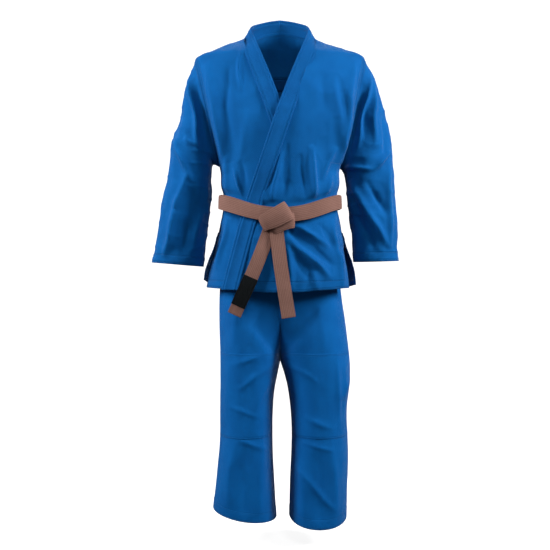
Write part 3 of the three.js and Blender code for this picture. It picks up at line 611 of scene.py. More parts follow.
# %% [markdown]
# ## Jacket panels
#
# Each front is one cloth from the shoulder to the hem, cut away under the collar, and the back is
# one cloth from armhole to armhole. The belt gathers all three, so the cloth is flat under it,
# blouses a little above it and flares below. The strokes are the folds that a tied belt and hanging
# arms make: upright ones that run into the belt, and slanting ones that fan out from the knot.

# %% Fold strokes of the fronts: x and z of both ends, width and height
LEFT_FRONT_FOLDS = [
    (0.088, -0.335, 0.092, -0.475, 0.010, 0.011), (0.060, -0.360, 0.066, -0.475, 0.010, -0.005),
    (0.000, -0.350, -0.022, -0.480, 0.008, 0.008), (0.022, -0.330, 0.010, -0.470, 0.010, -0.005),
    (0.150, -0.120, 0.168, -0.330, 0.016, 0.007), (0.120, -0.110, 0.128, -0.250, 0.024, -0.004),
    (0.150, -0.330, 0.112, -0.420, 0.010, 0.006), (0.140, -0.400, 0.120, -0.475, 0.009, 0.005),
    (0.214, -0.080, 0.160, -0.375, 0.016, 0.012), (0.060, -0.120, 0.110, -0.210, 0.030, 0.003),
    (0.028, -0.545, 0.130, -0.612, 0.010, 0.009), (0.022, -0.566, 0.140, -0.668, 0.013, -0.010),
    (0.022, -0.590, 0.135, -0.705, 0.013, 0.011), (0.040, -0.640, 0.080, -0.715, 0.014, -0.007),
    (0.020, -0.600, 0.030, -0.735, 0.011, 0.007), (0.110, -0.550, 0.165, -0.640, 0.014, -0.006),
    (0.145, -0.545, 0.170, -0.735, 0.012, 0.008), (0.090, -0.690, 0.100, -0.742, 0.016, 0.006),
]
RIGHT_FRONT_FOLDS = [
    (-0.118, -0.045, -0.118, -0.170, 0.008, 0.006), (-0.145, -0.080, -0.160, -0.220, 0.016, -0.004),
    (-0.212, -0.090, -0.155, -0.385, 0.018, 0.013), (-0.175, -0.150, -0.130, -0.360, 0.022, -0.005),
    (-0.128, -0.390, -0.104, -0.480, 0.006, 0.007), (-0.108, -0.370, -0.090, -0.470, 0.010, -0.005),
    (-0.150, -0.350, -0.150, -0.470, 0.010, 0.006), (-0.095, -0.230, -0.110, -0.370, 0.020, 0.004),
    (-0.150, -0.535, -0.176, -0.680, 0.011, 0.010), (-0.128, -0.545, -0.150, -0.690, 0.009, -0.007),
    (-0.172, -0.550, -0.198, -0.730, 0.010, -0.006), (-0.190, -0.580, -0.205, -0.740, 0.010, 0.006),
    (-0.100, -0.600, -0.122, -0.735, 0.010, 0.010), (-0.080, -0.580, -0.090, -0.730, 0.012, -0.006),
]
BACK_FOLDS = [
    (-0.185, -0.130, -0.120, -0.330, 0.018, 0.008), (0.185, -0.130, 0.120, -0.330, 0.018, 0.008),
    (-0.150, -0.200, -0.040, -0.300, 0.016, -0.006), (0.155, -0.220, 0.050, -0.320, 0.016, -0.006),
    (-0.080, -0.370, -0.070, -0.470, 0.010, 0.010), (-0.020, -0.360, -0.024, -0.470, 0.011, 0.008),
    (0.045, -0.350, 0.040, -0.470, 0.010, 0.010), (0.105, -0.370, 0.095, -0.465, 0.009, 0.008),
    (-0.130, -0.510, -0.165, -0.735, 0.014, 0.010), (-0.060, -0.500, -0.080, -0.735, 0.014, 0.009),
    (0.015, -0.500, 0.020, -0.735, 0.015, 0.010), (0.090, -0.505, 0.115, -0.735, 0.014, 0.009),
    (0.150, -0.520, 0.178, -0.735, 0.012, 0.008), (-0.100, -0.520, -0.120, -0.730, 0.012, -0.007),
]

# %% Edges of a grid
def soften(points, times):
    """Evens out a grid along its columns: each point moves to the mean of itself and its neighbours, the first
    and last rows stay."""
    points = points.copy()
    for _ in range(times):
        points[:, 1:-1] = (points[:, :-2] + 2 * points[:, 1:-1] + points[:, 2:]) / 4
    return points


def edge_distances(points):
    """For each grid point, how far along the cloth it is from the first column, the last column, the
    first row and the last row."""
    u = np.cumsum(np.linalg.norm(np.diff(points, axis=0, prepend=points[:1]), axis=-1), 0)
    v = np.cumsum(np.linalg.norm(np.diff(points, axis=1, prepend=points[:, :1]), axis=-1), 1)
    return u, u[-1:] - u, v, v[:, -1:] - v


def sewn_relief(hem, seam):
    """Double cloth along hems and felled seams stands up 0.9 mm, with a step at its edge."""
    return 0.0009 * (1 - smooth((hem - 0.026) / 0.003)) + 0.0009 * (1 - smooth((seam - 0.011) / 0.003))


def grid_area(points):
    """The area of a grid's surface."""
    du, dv = np.diff(points, axis=0)[:, :-1], np.diff(points, axis=1)[:-1]
    return float(np.linalg.norm(np.cross(du, dv), axis=-1).sum())

# %% Fronts and back
def front_panel(name, side, folds, columns=120, rows=210):
    """One front. Columns run from the side seam or armhole to under the collar band, rows from the
    shoulder to the hem. side is 1 for the wearer's left front, which lies outside."""
    z = mix(0.002, HEM_Z, np.linspace(0, 1, rows) ** 1.12)[None]
    below = smooth((VENT_TOP + 0.012 - z) / 0.05)
    start = edge_angle(z, True) + (0.40 if side > 0 else 0.0) * below
    angle = mix(start, angle_at(through(SEAM_EDGE, z) - 0.010, z), np.linspace(0, 1, columns)[:, None])
    height = np.broadcast_to(z, angle.shape)
    base = body(angle, height) * [side, 1, 1]
    inside = base * [0, 0, 1]
    n = normals(base, inside)
    from_side, _, _, from_hem = edge_distances(base)
    vent = np.where(height < VENT_TOP, from_side, from_side + 3 * (height - VENT_TOP))
    free = 1 - belt_grip(angle, height)
    under = -base[..., 0] - 0.01 + through(FREE_EDGE, height)
    shown = 1.0 if side > 0 else 0.25 + 0.75 * smooth(under / 0.03)
    sewn_in = smooth(from_side / 0.016)
    lift = strokes(base[..., 0], height, folds) + rumple(base, (0.08, 0.08, 0.13), 0.0035, 2)
    lift += creases(base, (0.035, 0.05, 0.06), 0.0012, 6)
    above = height - belt_height(angle)
    lift += 0.006 * np.exp(-((above - 0.055) / 0.03) ** 2)
    lift = lift * free * np.where(height < VENT_TOP + 0.02, 1, sewn_in) * shown
    flare = 0.017 * smooth((VENT_TOP + 0.03 - height) / 0.14) * np.exp(-(from_side / 0.09) ** 2)
    lift += flare if side < 0 else 0.3 * flare
    lift = np.maximum(lift, -0.006) + (outer_layer(angle, height) if side > 0 else 0) + 0.0026
    hem = np.minimum(from_hem, vent)
    seam = np.where(height < VENT_TOP, 0.5, from_side)
    points = base + n * (lift + sewn_relief(hem, seam))[..., None]
    points[..., 2] -= 0.006 * smooth((-0.70 - height) / 0.04) * np.cos(base[..., 0] / 0.07)
    piece = cloth(name, points, pearl, CLOTH, inside=inside, hem=hem, seam=seam)
    return {"piece": piece, "points": points, "out": n, "base": base}


def back_panel(columns=230, rows=210):
    """The back from seam to seam. Its top row climbs from the shoulder seams to the nape as sin^2."""
    v = np.linspace(0, 1, rows) ** 1.12
    z = mix(0.002, HEM_Z, v)[None]
    u = np.linspace(0, 1, columns)[:, None]
    edge = edge_angle(z, False)
    angle = np.pi + mix(edge, np.pi - edge, u)
    rise = 0.044 * np.clip(1 - (0.002 - z) / 0.14, 0, 1) ** 2 * np.sin(np.pi * u) ** 1.6
    height = np.broadcast_to(z + rise, angle.shape)
    base = body(angle, height)
    inside = base * [0, 0, 1]
    n = normals(base, inside)
    left, right, _, from_hem = edge_distances(base)
    from_side = np.minimum(left, right)
    vent = np.where(height < VENT_TOP, from_side, from_side + 3 * (height - VENT_TOP))
    lift = strokes(base[..., 0], height, BACK_FOLDS) + rumple(base, (0.09, 0.09, 0.13), 0.004, 12)
    lift += creases(base, (0.04, 0.05, 0.06), 0.0012, 16)
    above = height - belt_height(angle)
    lift += 0.007 * np.exp(-((above - 0.055) / 0.03) ** 2)
    lift = lift * (1 - belt_grip(angle, height)) * np.where(height < VENT_TOP + 0.02, 1,
                                                            smooth(from_side / 0.016))
    lift += 0.026 * smooth((VENT_TOP + 0.03 - height) / 0.15) * np.exp(-(from_side / 0.08) ** 2)
    hem = np.minimum(from_hem, vent)
    seam = np.where(height < VENT_TOP, 0.5, from_side)
    base = base + np.array([0, 0, 1]) * (np.where(base[..., 0] < 0, 0.028,
                                                  0.013) * smooth((-0.63 - height) / 0.12)
                                         * np.exp(-(from_side / 0.055) ** 2))[..., None]
    points = base + n * (np.maximum(lift, -0.006) + 0.0026 + sewn_relief(hem, seam))[..., None]
    piece = cloth("back_cloth", points, pearl, CLOTH, inside=inside, hem=hem, seam=seam)
    return {"piece": piece, "points": points, "out": n, "base": base}


left_front = front_panel("left_front_cloth", 1, LEFT_FRONT_FOLDS)
right_front = front_panel("right_front_cloth", -1, RIGHT_FRONT_FOLDS)
back = back_panel()
print("panels", [round(grid_area(p["base"]), 3) for p in (left_front, right_front, back)], "m2")

# %% [markdown]
# ## Bands
#
# The collar, the belt and its ends are all bands: much longer than wide, and thick enough to show a
# rounded edge. A band is a closed section carried along two edge lines. The section is a rounded
# oblong, and shallow grooves on it are the rows of stitching that hold its layers together.

# %% Band maker
def band(name, low, high, outward, thick, material, grooves=(), groove=0.0006, ring=False, around=52,
         squareness=7,
         crown=0.0, spread=0.0011):
    """A band between the edge lines low and high, given at each station with the direction outward. Its
    section is |a|^n + |h|^n = 1, a across and h through it, and a groove is a narrow bell curve at a
    share of the width, with that spread. crown arches it outwards."""
    turn = np.linspace(0, 2 * np.pi, around, endpoint=False)[None]
    a = power(np.cos(turn), 2 / squareness)
    h = power(np.sin(turn), 2 / squareness)
    across = high - low
    width = np.linalg.norm(across, axis=-1)[:, None]
    share = (a + 1) / 2
    dips = sum((np.exp(-((share - at) * width / spread) ** 2) for at in grooves),
               np.zeros_like(share * width))
    rise = thick / 2 + (thick / 2) * h - groove * dips * np.sign(h) + crown * (1 - a**2)
    points = low[:, None] + share[..., None] * across[:, None] + rise[..., None] * outward[:, None]
    run = np.concatenate([[0], np.cumsum(np.linalg.norm(np.diff((low + high) / 2, axis=0), axis=1))])
    stations = len(low)
    if ring:
        run = np.append(run, run[-1] + np.linalg.norm((low + high)[0] - (low + high)[-1]) / 2)
    i, j = corners_of(stations, around + 1, ring)
    girth = np.append(share.mean(0), share[0, 0]) * float(width.mean())
    uv = np.stack(np.broadcast_arrays(girth[None], run[:, None]), -1)
    faces = (i % stations) * around + j % around
    pairs = uv[i, j]
    if not ring:
        k = np.arange(around // 2 - 1)
        lid = np.stack([k, k + 1, around - 2 - k, around - 1 - k], 1)
        last = (stations - 1) * around
        faces = np.concatenate([faces, lid, last + lid[:, ::-1]])
        pairs = np.concatenate([pairs, uv[0, lid], uv[-1, lid[:, ::-1]]])
    flat = points.reshape(-1, 3)
    a0, b0, c0 = (flat[faces[: (around // 2)][:, k]] for k in (0, 1, 2))
    centre = points[0].mean(0)
    if np.sum(np.cross(b0 - a0, c0 - a0) * (a0 - centre)) < 0:
        faces, pairs = faces[:, ::-1], pairs[:, ::-1]
    return mesh_object(name, flat, faces, {"cloth": pairs, "edges": np.full_like(pairs, 0.5)}, material)


def stitched_rows(count, margin):
    return [margin + (1 - 2 * margin) * k / (count - 1) for k in range(count)]

# %% [markdown]
# ## Collar
#
# The collar is a folded, filled band, four finger widths of hard cloth that runs from one hem round
# the neck to the other. Round the neck it stands on the neckline and leans in, and down the chest it
# lies flat. The wearer's left half lies outside. It is made as two bands that meet behind the neck,
# one along each front.

# %% Collar
BAND_WIDTH, BAND_THICK = 0.048, 0.0075
NECK_TURNS = [(8, 28), (30, 22), (52, 14), (72, 8), (90.15, 7)]  # degrees round from the shoulder, and lean


def chest_stations(side, heights):
    """The band's free and sewn edge at those heights, on the form."""
    z = np.asarray(heights, float)
    free, seam = (body(angle_at(through(rows, z), z), z) * [side, 1, 1] for rows in (FREE_EDGE, SEAM_EDGE))
    layer = LAP * smooth((-0.060 - z) / 0.14) if side > 0 else 0 * z
    return free, seam, layer


def neck_stations(side):
    """Round the neck: the sewn edge is on the neckline, which climbs to the nape, and the free edge
    leans in over it."""
    turn, lean = np.radians(np.array(NECK_TURNS, float)).T
    seam = body(2 * np.pi - turn, 0.002 + 0.034 * np.sin(turn) ** 2)
    radial = unit(seam * [1, 1, 0])
    free = seam - radial * (BAND_WIDTH * np.sin(lean))[:,
            None] + np.array([0, 0, 1]) * (BAND_WIDTH * np.cos(lean))[:, None]
    free[:, 1] -= 0.010 * np.cos(turn) ** 2
    return free * [side, 1, 1], seam * [side, 1, 1], 0 * turn


def collar_half(name, side, stations=300):
    heights = [HEM_Z, -0.70, -0.64, -0.58, -0.52, -0.46, -0.40, -0.34, -0.28, -0.23, -0.18, -0.13, -0.08,
               -0.04]
    parts = [np.concatenate(pair) for pair in zip(chest_stations(side, heights), neck_stations(side))]
    free, seam = (soften(path_points(part, stations)[None], 110)[0] for part in parts[:2])
    layer = np.interp(np.linspace(0, 1, stations), np.linspace(0, 1, len(parts[2])), parts[2])
    across = unit(seam - free)
    ahead = unit(np.gradient(seam, axis=0))
    outward = unit(np.cross(across, ahead))
    outward *= np.where(np.sum(outward * seam * [1, 1, 0], -1, keepdims=True) < 0, -1, 1)
    under_belt = belt_grip(angle_at(np.abs(seam[:, 0]) * np.sign(seam[:, 0] * side), seam[:, 2]), seam[:, 2])
    wave = rumple(seam, 0.11, 0.0020, 21) * (1 - under_belt)
    shift = outward * (layer + wave + 0.0006)[:, None]
    seam = free + across * (np.linalg.norm(seam - free,
            axis=1) + 0.001 + 0.004 * smooth((seam[:, 2] + 0.04) / 0.04))[:, None]
    return band(name, free + shift, seam + shift, outward, BAND_THICK, collar_cloth,
                [0.14, 0.32, 0.50, 0.68, 0.86], 0.0013, around=72, squareness=5, crown=0.0012, spread=0.0017)


left_collar = collar_half("left_collar_band", 1)
right_collar = collar_half("right_collar_band", -1)

# %% [markdown]
# ## Sleeves
#
# A sleeve is a tube whose rings lie between an outer and an inner line down the arm. The first ring
# is the armhole's tilted oval, so sleeve and body meet on one seam. A hanging sleeve folds at the
# elbow and drags from the shoulder's tip, and its front and back get strokes of their own.

# %% Sleeve lines and folds, with x counted outwards
SLEEVES = {
    "right": {
        "outer": [(0.250, -0.054), (0.284, -0.165), (0.315, -0.300), (0.340, -0.432), (0.361, -0.545),
                  (0.381, -0.662)],
        "inner": [(0.176, -0.372), (0.203, -0.366), (0.210, -0.408), (0.207, -0.470), (0.219, -0.560),
                  (0.233, -0.674)],
        "front": [(0.264, -0.110, 0.238, -0.330, 0.010, 0.014), (0.240, -0.150, 0.196, -0.350, 0.016, -0.010),
                  (0.300, -0.300, 0.262, -0.420, 0.012, 0.012), (0.270, -0.395, 0.310, -0.500, 0.013, 0.010),
                  (0.300, -0.470, 0.338, -0.640, 0.014, 0.013), (0.265, -0.450, 0.290, -0.640, 0.018, -0.008),
                  (0.295, -0.190, 0.300, -0.300, 0.014, -0.005), (0.240, -0.320, 0.275, -0.300, 0.010, 0.007),
                  (0.235, -0.500, 0.255, -0.630, 0.014, 0.006)],
    },
    "left": {
        "outer": [(0.250, -0.054), (0.292, -0.150), (0.322, -0.262), (0.335, -0.400), (0.345, -0.530),
                  (0.355, -0.657)],
        "inner": [(0.176, -0.372), (0.192, -0.390), (0.200, -0.432), (0.205, -0.500), (0.213, -0.580),
                  (0.223, -0.660)],
        "front": [(0.262, -0.120, 0.226, -0.320, 0.008, 0.010), (0.274, -0.130, 0.272, -0.320, 0.012, 0.011),
                  (0.236, -0.170, 0.196, -0.350, 0.014, -0.009),
                  (0.250, -0.200, 0.242, -0.320, 0.012, -0.003),
                  (0.302, -0.230, 0.304, -0.350, 0.011, -0.006),
                  (0.190, -0.378, 0.275, -0.386, 0.009, 0.009), (0.275, -0.386, 0.318, -0.335, 0.010, 0.008),
                  (0.212, -0.425, 0.322, -0.615, 0.014, 0.011), (0.255, -0.420, 0.320, -0.520, 0.014, -0.008),
                  (0.318, -0.370, 0.330, -0.610, 0.010, 0.008),
                  (0.230, -0.520, 0.280, -0.640, 0.016, -0.006)],
    },
}
SLEEVE_DEPTH = [0.072, 0.072, 0.066, 0.061, 0.056, 0.050]


def limb(outer, inner, depth, columns, t):
    """Rings between two lines: the middle, plus half the way across times cos, plus the depth times -sin,
    with the angle going round each ring. Angle 0 is the outer side and a quarter turn the front."""
    angle = (np.linspace(0, 2 * np.pi, columns, endpoint=False))[:, None]
    o, i = (np.stack([along([p[k] for p in line], t) for k in (0, 1)], -1)[None] for line in (outer, inner))
    xz = mix(i, o, ((1 + np.cos(angle)) / 2)[..., None])
    y = -along(depth, t)[None] * np.sin(angle)
    return np.stack([xz[..., 0], np.broadcast_to(y, xz.shape[:2]), xz[..., 1]], -1), angle


def sleeve(label, side, columns=120, rows=190):
    lines = SLEEVES[label]
    t = np.linspace(0, 1, rows)
    base, angle = limb(lines["outer"], lines["inner"], SLEEVE_DEPTH, columns, t)
    inside = np.broadcast_to(base.mean(0, keepdims=True), base.shape)
    n = normals(base, inside, ring=True)
    front = smooth(np.sin(angle) * 1.3 + 0.5)
    seed = 30 + side
    lift = strokes(base[..., 0], base[..., 2], lines["front"]) * front
    lift += strokes(base[..., 0], base[..., 2] - 0.03, lines["front"][::-1]) * (1 - front) * 0.8
    lift += rumple(base, (0.07, 0.07, 0.11), 0.005, seed) + creases(base, (0.05, 0.05, 0.035), 0.0022,
                                                                    seed + 5)
    down = np.linalg.norm(np.diff(base, axis=1, prepend=base[:, :1]), axis=-1).cumsum(1)
    from_cuff = down[:, -1:] - down
    lift = lift * smooth(down / 0.03) * (0.35 + 0.65 * smooth(from_cuff / 0.05))
    lift += 0.0026 + sewn_relief(from_cuff, down)
    points = (base + n * lift[..., None]) * [side, 1, 1]
    piece = cloth(f"{label}_sleeve_cloth", points, pearl, CLOTH, ring=True, inside=inside * [side, 1, 1],
                  hem=from_cuff, seam=down)
    return {"piece": piece, "points": points, "out": n * [side, 1, 1], "base": base * [side, 1, 1]}


left_sleeve = sleeve("left", 1)
right_sleeve = sleeve("right", -1)
print("sleeves", [round(grid_area(p["base"]), 3) for p in (left_sleeve, right_sleeve)], "m2")

# %% [markdown]
# ## Belt and knot
#
# The belt goes twice round the waist. Both ends are pulled through and tied in front in a flat knot,
# which is drawn as two passes: one strap that crosses the knot slantwise and folds back behind it, and
# below it the end of the strap under it. The two ends hang from the knot's lower edge.

# %% Wraps
BELT_WIDTH, BELT_THICK = 0.040, 0.0047
BELT_ROWS = stitched_rows(8, 0.07)
ROW_DEPTH = 0.0006


def belt_wrap(name, lift, raise_by, stations=320):
    """One turn of the belt, its two edges that far off the form."""
    turn = np.linspace(0, 2 * np.pi, stations, endpoint=False)
    front = np.sin(turn) > 0
    fold = np.where(front, np.degrees(np.minimum(turn, np.pi - turn)), 0)
    off = lift + mix(0.0046, 0.0210, smooth(fold / 32)) - 0.0008 * np.cos(6 * turn)
    edges = []
    for half in (-1, 1):
        z = belt_height(turn) + raise_by + half * (BELT_WIDTH / 2 - 0.0008 * np.sin(5 * turn + lift * 900))
        edge = body(turn, z)
        out = unit(np.stack([np.gradient(edge[:, 1]), -np.gradient(edge[:, 0]), 0 * z], -1))
        out *= np.where(np.sum(out * edge, -1, keepdims=True) < 0, -1, 1)
        edges.append(edge + out * off[:, None])
    out = unit(np.roll(edges[0], -1, 0) - np.roll(edges[0], 1, 0))
    outward = unit(np.cross(out, edges[1] - edges[0]))
    outward *= np.where(np.sum(outward * edges[0] * [1, 1, 0], -1, keepdims=True) < 0, -1, 1)
    return band(name, *edges, outward, BELT_THICK, belt_cotton, BELT_ROWS, ROW_DEPTH, True)


inner_wrap = belt_wrap("belt_inner_turn", 0.0, 0.003)
outer_wrap = belt_wrap("belt_outer_turn", 0.0052, 0.0)

# %% Knot
def strap_pass(name, corners, depth, front, stations=90, tuck=0.5, sag=0.0):
    """A strap across the knot. corners are its lower and upper left and its lower and upper right corner,
    as x and z. Seen from its edge the strap is the front half of a squared oval, so both ends fold back."""
    low0, high0, low1, high1 = np.array(corners, float)
    turn = np.linspace(np.pi + tuck, -tuck, stations)
    share = (1 + power(np.cos(turn), 0.55)) / 2
    y = front + depth * (1 - power(np.sin(turn), 0.75))
    low = mix(low0, low1, share[:, None])
    high = mix(high0, high1, share[:, None])
    arch = np.clip(4 * share * (1 - share), 0, 1)
    low[:, 1] -= sag * arch
    low, high = (np.stack([edge[:, 0], y, edge[:, 1]], -1) for edge in (low, high))
    ahead = unit(np.gradient((low + high) / 2, axis=0))
    outward = unit(np.cross(ahead, high - low))
    outward *= -1 if outward[stations // 2, 1] > 0 else 1
    return band(name, low, high, outward, BELT_THICK, belt_cotton, BELT_ROWS, ROW_DEPTH, around=60,
                crown=0.0022)


KNOT_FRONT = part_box("belt_knot_over")[0][1]
knot_over = strap_pass("knot_over", [(-0.040, -0.573), (-0.060, -0.533), (0.036, -0.541), (0.008, -0.492)],
                       0.016, KNOT_FRONT - 0.005, sag=0.004, tuck=0.7)
knot_under = strap_pass("knot_under", [(-0.016, -0.586), (-0.034, -0.548), (0.036, -0.566), (0.034, -0.522)],
                        0.006, KNOT_FRONT + 0.0060, sag=-0.002)
print("knot front", round(KNOT_FRONT, 4))

# %% Hanging ends
def belt_end(name, line, off, width, thick, material, start=0.0, stop=1.0, stations=130, wave=0.0):
    """A hanging end along a line of x and z points, off the form by that much at its back face. start and
    stop are the shares of its length."""
    path = path_points([(x, z, 0) for x, z in line], 400)
    path = path_points(path[int(start * 399):int(stop * 399) + 1], stations)
    ahead = unit(np.gradient(path, axis=0))
    side = np.stack([-ahead[:, 1], ahead[:, 0]], -1) * width / 2
    edges = []
    for half in (-1, 1):
        x, z = path[:, 0] + half * side[:, 0], path[:, 1] + half * side[:, 1]
        held = np.maximum(z, HEM_Z)
        edge = body(angle_at(x, held), held)
        edge[:, 2] = z
        edges.append(edge)
    y = np.minimum(edges[0][:, 1], edges[1][:, 1])
    y -= off + wave * np.sin(np.linspace(0.4, 5.2, stations))
    for edge in edges:
        edge[:, 1] = mix(edge[:, 1] - off, y, 0.75)
    low, high = (edges[0], edges[1]) if edges[0][0, 0] < edges[1][0, 0] else (edges[1], edges[0])
    outward = unit(np.cross(unit(np.gradient((low + high) / 2, axis=0)), high - low))
    outward *= -1 if outward[0, 1] > 0 else 1
    return band(name, low, high, outward, thick, material, BELT_ROWS, ROW_DEPTH, around=60)


BAR_END = [(-0.028, -0.5675), (-0.074, -0.685), (-0.131, -0.812)]
PLAIN_END = [(-0.0115, -0.5675), (0.002, -0.680), (0.024, -0.820)]
bar_end = belt_end("belt_bar_end", BAR_END, 0.0222, BELT_WIDTH, BELT_THICK, belt_cotton)
plain_end = belt_end("belt_plain_end", PLAIN_END, 0.0278, BELT_WIDTH, BELT_THICK, belt_cotton)
bar_length = np.linalg.norm(np.diff(np.array(BAR_END), axis=0), axis=1).sum()
bar = belt_end("rank_bar_cloth", BAR_END, 0.0210, BELT_WIDTH + 0.0024, BELT_THICK + 0.0024, bar_cotton,
               1 - 0.117 / bar_length, 1 - 0.027 / bar_length, 60)
print("bar end length", round(bar_length, 3), "m")

# %% [markdown]
# ## Trousers
#
# Each half is one cloth from the waist to the ankle. Its two long edges are the middle seams in front
# and behind. They run down and curve inwards like a U, meet at the crotch and go on together as the
# inseam. So every row of the grid runs from the front seam round the outside to the back seam, level at
# the waist, slanting at the groin and level again down the leg.

# %% Trouser lines, with x counted outwards
TROUSER_FORM = [(-0.465, 0.1615, 0.090, 0.080), (-0.560, 0.164, 0.098, 0.088), (-0.660, 0.172, 0.106, 0.102),
                (-0.760, 0.180, 0.112, 0.112)]
TROUSER_TOP = -0.465
CROTCH = -0.948
LEGS = {
    "right": {
        "dip": 0.010,
        "outer": [(0.180, -0.760), (0.178, -0.925), (0.175, -1.075), (0.178, -1.195), (0.188, -1.303),
                  (0.197, -1.392)],
        "inner": [(0.001, -0.948), (0.013, -1.005), (0.024, -1.075), (0.026, -1.190), (0.021, -1.300),
                  (0.014, -1.420)],
        "folds": [(0.020, -0.960, 0.120, -1.030, 0.012, 0.007), (0.040, -0.930, 0.140, -0.960, 0.014, 0.006),
                  (0.030, -0.985, 0.075, -1.110, 0.012, 0.006), (0.060, -1.110, 0.150, -1.080, 0.012, 0.005),
                  (0.120, -0.770, 0.135, -0.930, 0.020, 0.007), (0.060, -0.790, 0.085, -0.900, 0.016, 0.006),
                  (0.130, -1.180, 0.155, -1.380, 0.020, 0.009), (0.060, -1.160, 0.055, -1.400, 0.020, 0.010),
                  (0.100, -1.200, 0.105, -1.400, 0.022, -0.008), (0.040, -1.215, 0.120, -1.180, 0.012, 0.006),
                  (0.150, -0.960, 0.160, -1.140, 0.014, 0.005)],
    },
    "left": {
        "dip": 0.024,
        "outer": [(0.180, -0.760), (0.210, -0.968), (0.197, -1.092), (0.201, -1.200), (0.198, -1.310),
                  (0.197, -1.416)],
        "inner": [(0.001, -0.948), (0.020, -1.005), (0.033, -1.080), (0.039, -1.180), (0.033, -1.300),
                  (0.031, -1.415)],
        "folds": [(0.165, -0.924, 0.172, -1.150, 0.010, 0.008), (0.190, -0.960, 0.186, -1.140, 0.008, 0.006),
                  (0.200, -1.000, 0.180, -1.060, 0.012, 0.008), (0.020, -0.960, 0.110, -1.010, 0.012, 0.006),
                  (0.110, -0.770, 0.125, -0.930, 0.020, 0.007), (0.048, -1.266, 0.162, -1.371, 0.012, 0.009),
                  (0.070, -1.110, 0.150, -1.150, 0.012, 0.006), (0.060, -1.200, 0.070, -1.400, 0.020, 0.008),
                  (0.150, -1.180, 0.165, -1.400, 0.020, 0.009), (0.110, -1.230, 0.115, -1.400, 0.020, -0.006),
                  (0.070, -1.190, 0.160, -1.215, 0.010, 0.005)],
    },
}
LEG_DEPTH = [0.112, 0.106, 0.099, 0.095, 0.092, 0.090]


# %% Trouser halves
def trouser_half(label, side, columns=170, seat_rows=100, leg_rows=190):
    """One half. Angle 0 is the outer side, and plus and minus half a turn are the front and the back seam."""
    lines = LEGS[label]
    turn = np.linspace(np.pi, -np.pi, columns)[:, None]
    t = np.linspace(0, 1, seat_rows)[None]
    bend = np.clip((t - 0.36) / 0.64, 0, 1) * np.pi / 2
    round_in = 1 - np.cos(bend)
    outer_z = mix(TROUSER_TOP, -0.760, t)
    seam_z = mix(TROUSER_TOP, -0.660, np.clip(t / 0.36, 0, 1)) + (CROTCH + 0.660) * np.sin(bend)
    share = (1 + np.cos(turn)) / 2
    z = mix(seam_z, outer_z, share)
    half, sine = np.cos(turn / 2), np.sin(turn)
    width = through(TROUSER_FORM, outer_z, 1)
    depth = np.where(turn > 0, through(TROUSER_FORM, outer_z, 2), through(TROUSER_FORM, outer_z, 3))
    x = width * mix(np.abs(half) ** (2 / ROUNDNESS), share, round_in)
    y = -np.sign(turn) * depth * mix(np.abs(np.sin(turn / 2)) ** (2 / ROUNDNESS), np.abs(sine), round_in)
    seat = np.stack([x, y, z], -1)
    s = np.linspace(0, 1, leg_rows)
    o, i = (np.stack([along([p[k] for p in lines[key]], s) for k in (0, 1)], -1)[None] for key in ("outer",
                                                                                                   "inner"))
    xz = mix(i, o, share[..., None])
    y = -along(LEG_DEPTH, s)[None] * sine
    leg = np.stack([xz[..., 0], y, xz[..., 1]], -1)
    base = soften(np.concatenate([seat[:, :-1], leg], 1), 240)
    middle = base.mean(0, keepdims=True) * np.array([1, 0, 1])
    inside = np.broadcast_to(middle, base.shape)
    n = normals(base, inside)
    closed = unit(n[0, seat_rows:] + n[-1, seat_rows:])
    n[0, seat_rows:] = n[-1, seat_rows:] = closed
    down = np.linalg.norm(np.diff(base, axis=1, prepend=base[:, :1]), axis=-1).cumsum(1)
    from_hem = down[:, -1:] - down
    real = base * [side, 1, 1]
    front = smooth(np.sin(turn) * 1.3 + 0.6)
    lift = strokes(base[..., 0], base[..., 2], lines["folds"]) * front
    lift += strokes(base[..., 0], base[..., 2] - 0.02, lines["folds"][::-1]) * (1 - front) * 0.7
    lift += rumple(real, (0.09, 0.09, 0.16), 0.005, 41) + creases(real, (0.06, 0.06, 0.09), 0.0014, 45)
    around = np.linalg.norm(np.diff(base, axis=0, prepend=base[:1]), axis=-1).cumsum(0)
    from_seam = np.minimum(around, around[-1:] - around)
    quiet = smooth((-0.70 - base[..., 2]) / 0.10)
    lift = 0.40 * lift * quiet * smooth(from_seam / 0.03 + 0.15) * (0.4 + 0.6 * smooth(from_hem / 0.04))
    points = base + n * (lift + 0.0022 + sewn_relief(from_hem, from_seam))[..., None]
    points[:, :, 2] -= lines["dip"] * np.sin(np.clip(turn, 0, np.pi)) * smooth(1 - from_hem / 0.16)
    points[[0, -1], :seat_rows, 0] = 0.0
    points[0, seat_rows:] = points[-1, seat_rows:] = (points[0, seat_rows:] + points[-1, seat_rows:]) / 2
    points *= [side, 1, 1]
    piece = cloth(f"{label}_trouser_cloth", points, canvas, CLOTH, inside=inside * [side, 1, 1], hem=from_hem,
                  seam=from_seam)
    return {"piece": piece, "points": points, "out": n * [side, 1, 1], "base": real, "seat_rows": seat_rows}


left_half = trouser_half("left", 1)
right_half = trouser_half("right", -1)
print("trouser halves", [round(grid_area(p["base"]), 3) for p in (left_half, right_half)], "m2")

# %% [markdown]
# ## Patches, hems and facings
#
# Many parts of a uniform are a second cloth sewn on the first: knee patches, gussets, the yoke inside
# the shoulders, hems turned up inside. Each is cut out of the grid of the cloth it is sewn to and moved
# outwards or inwards by a cloth's thickness, so it follows every fold of what it is sewn to.

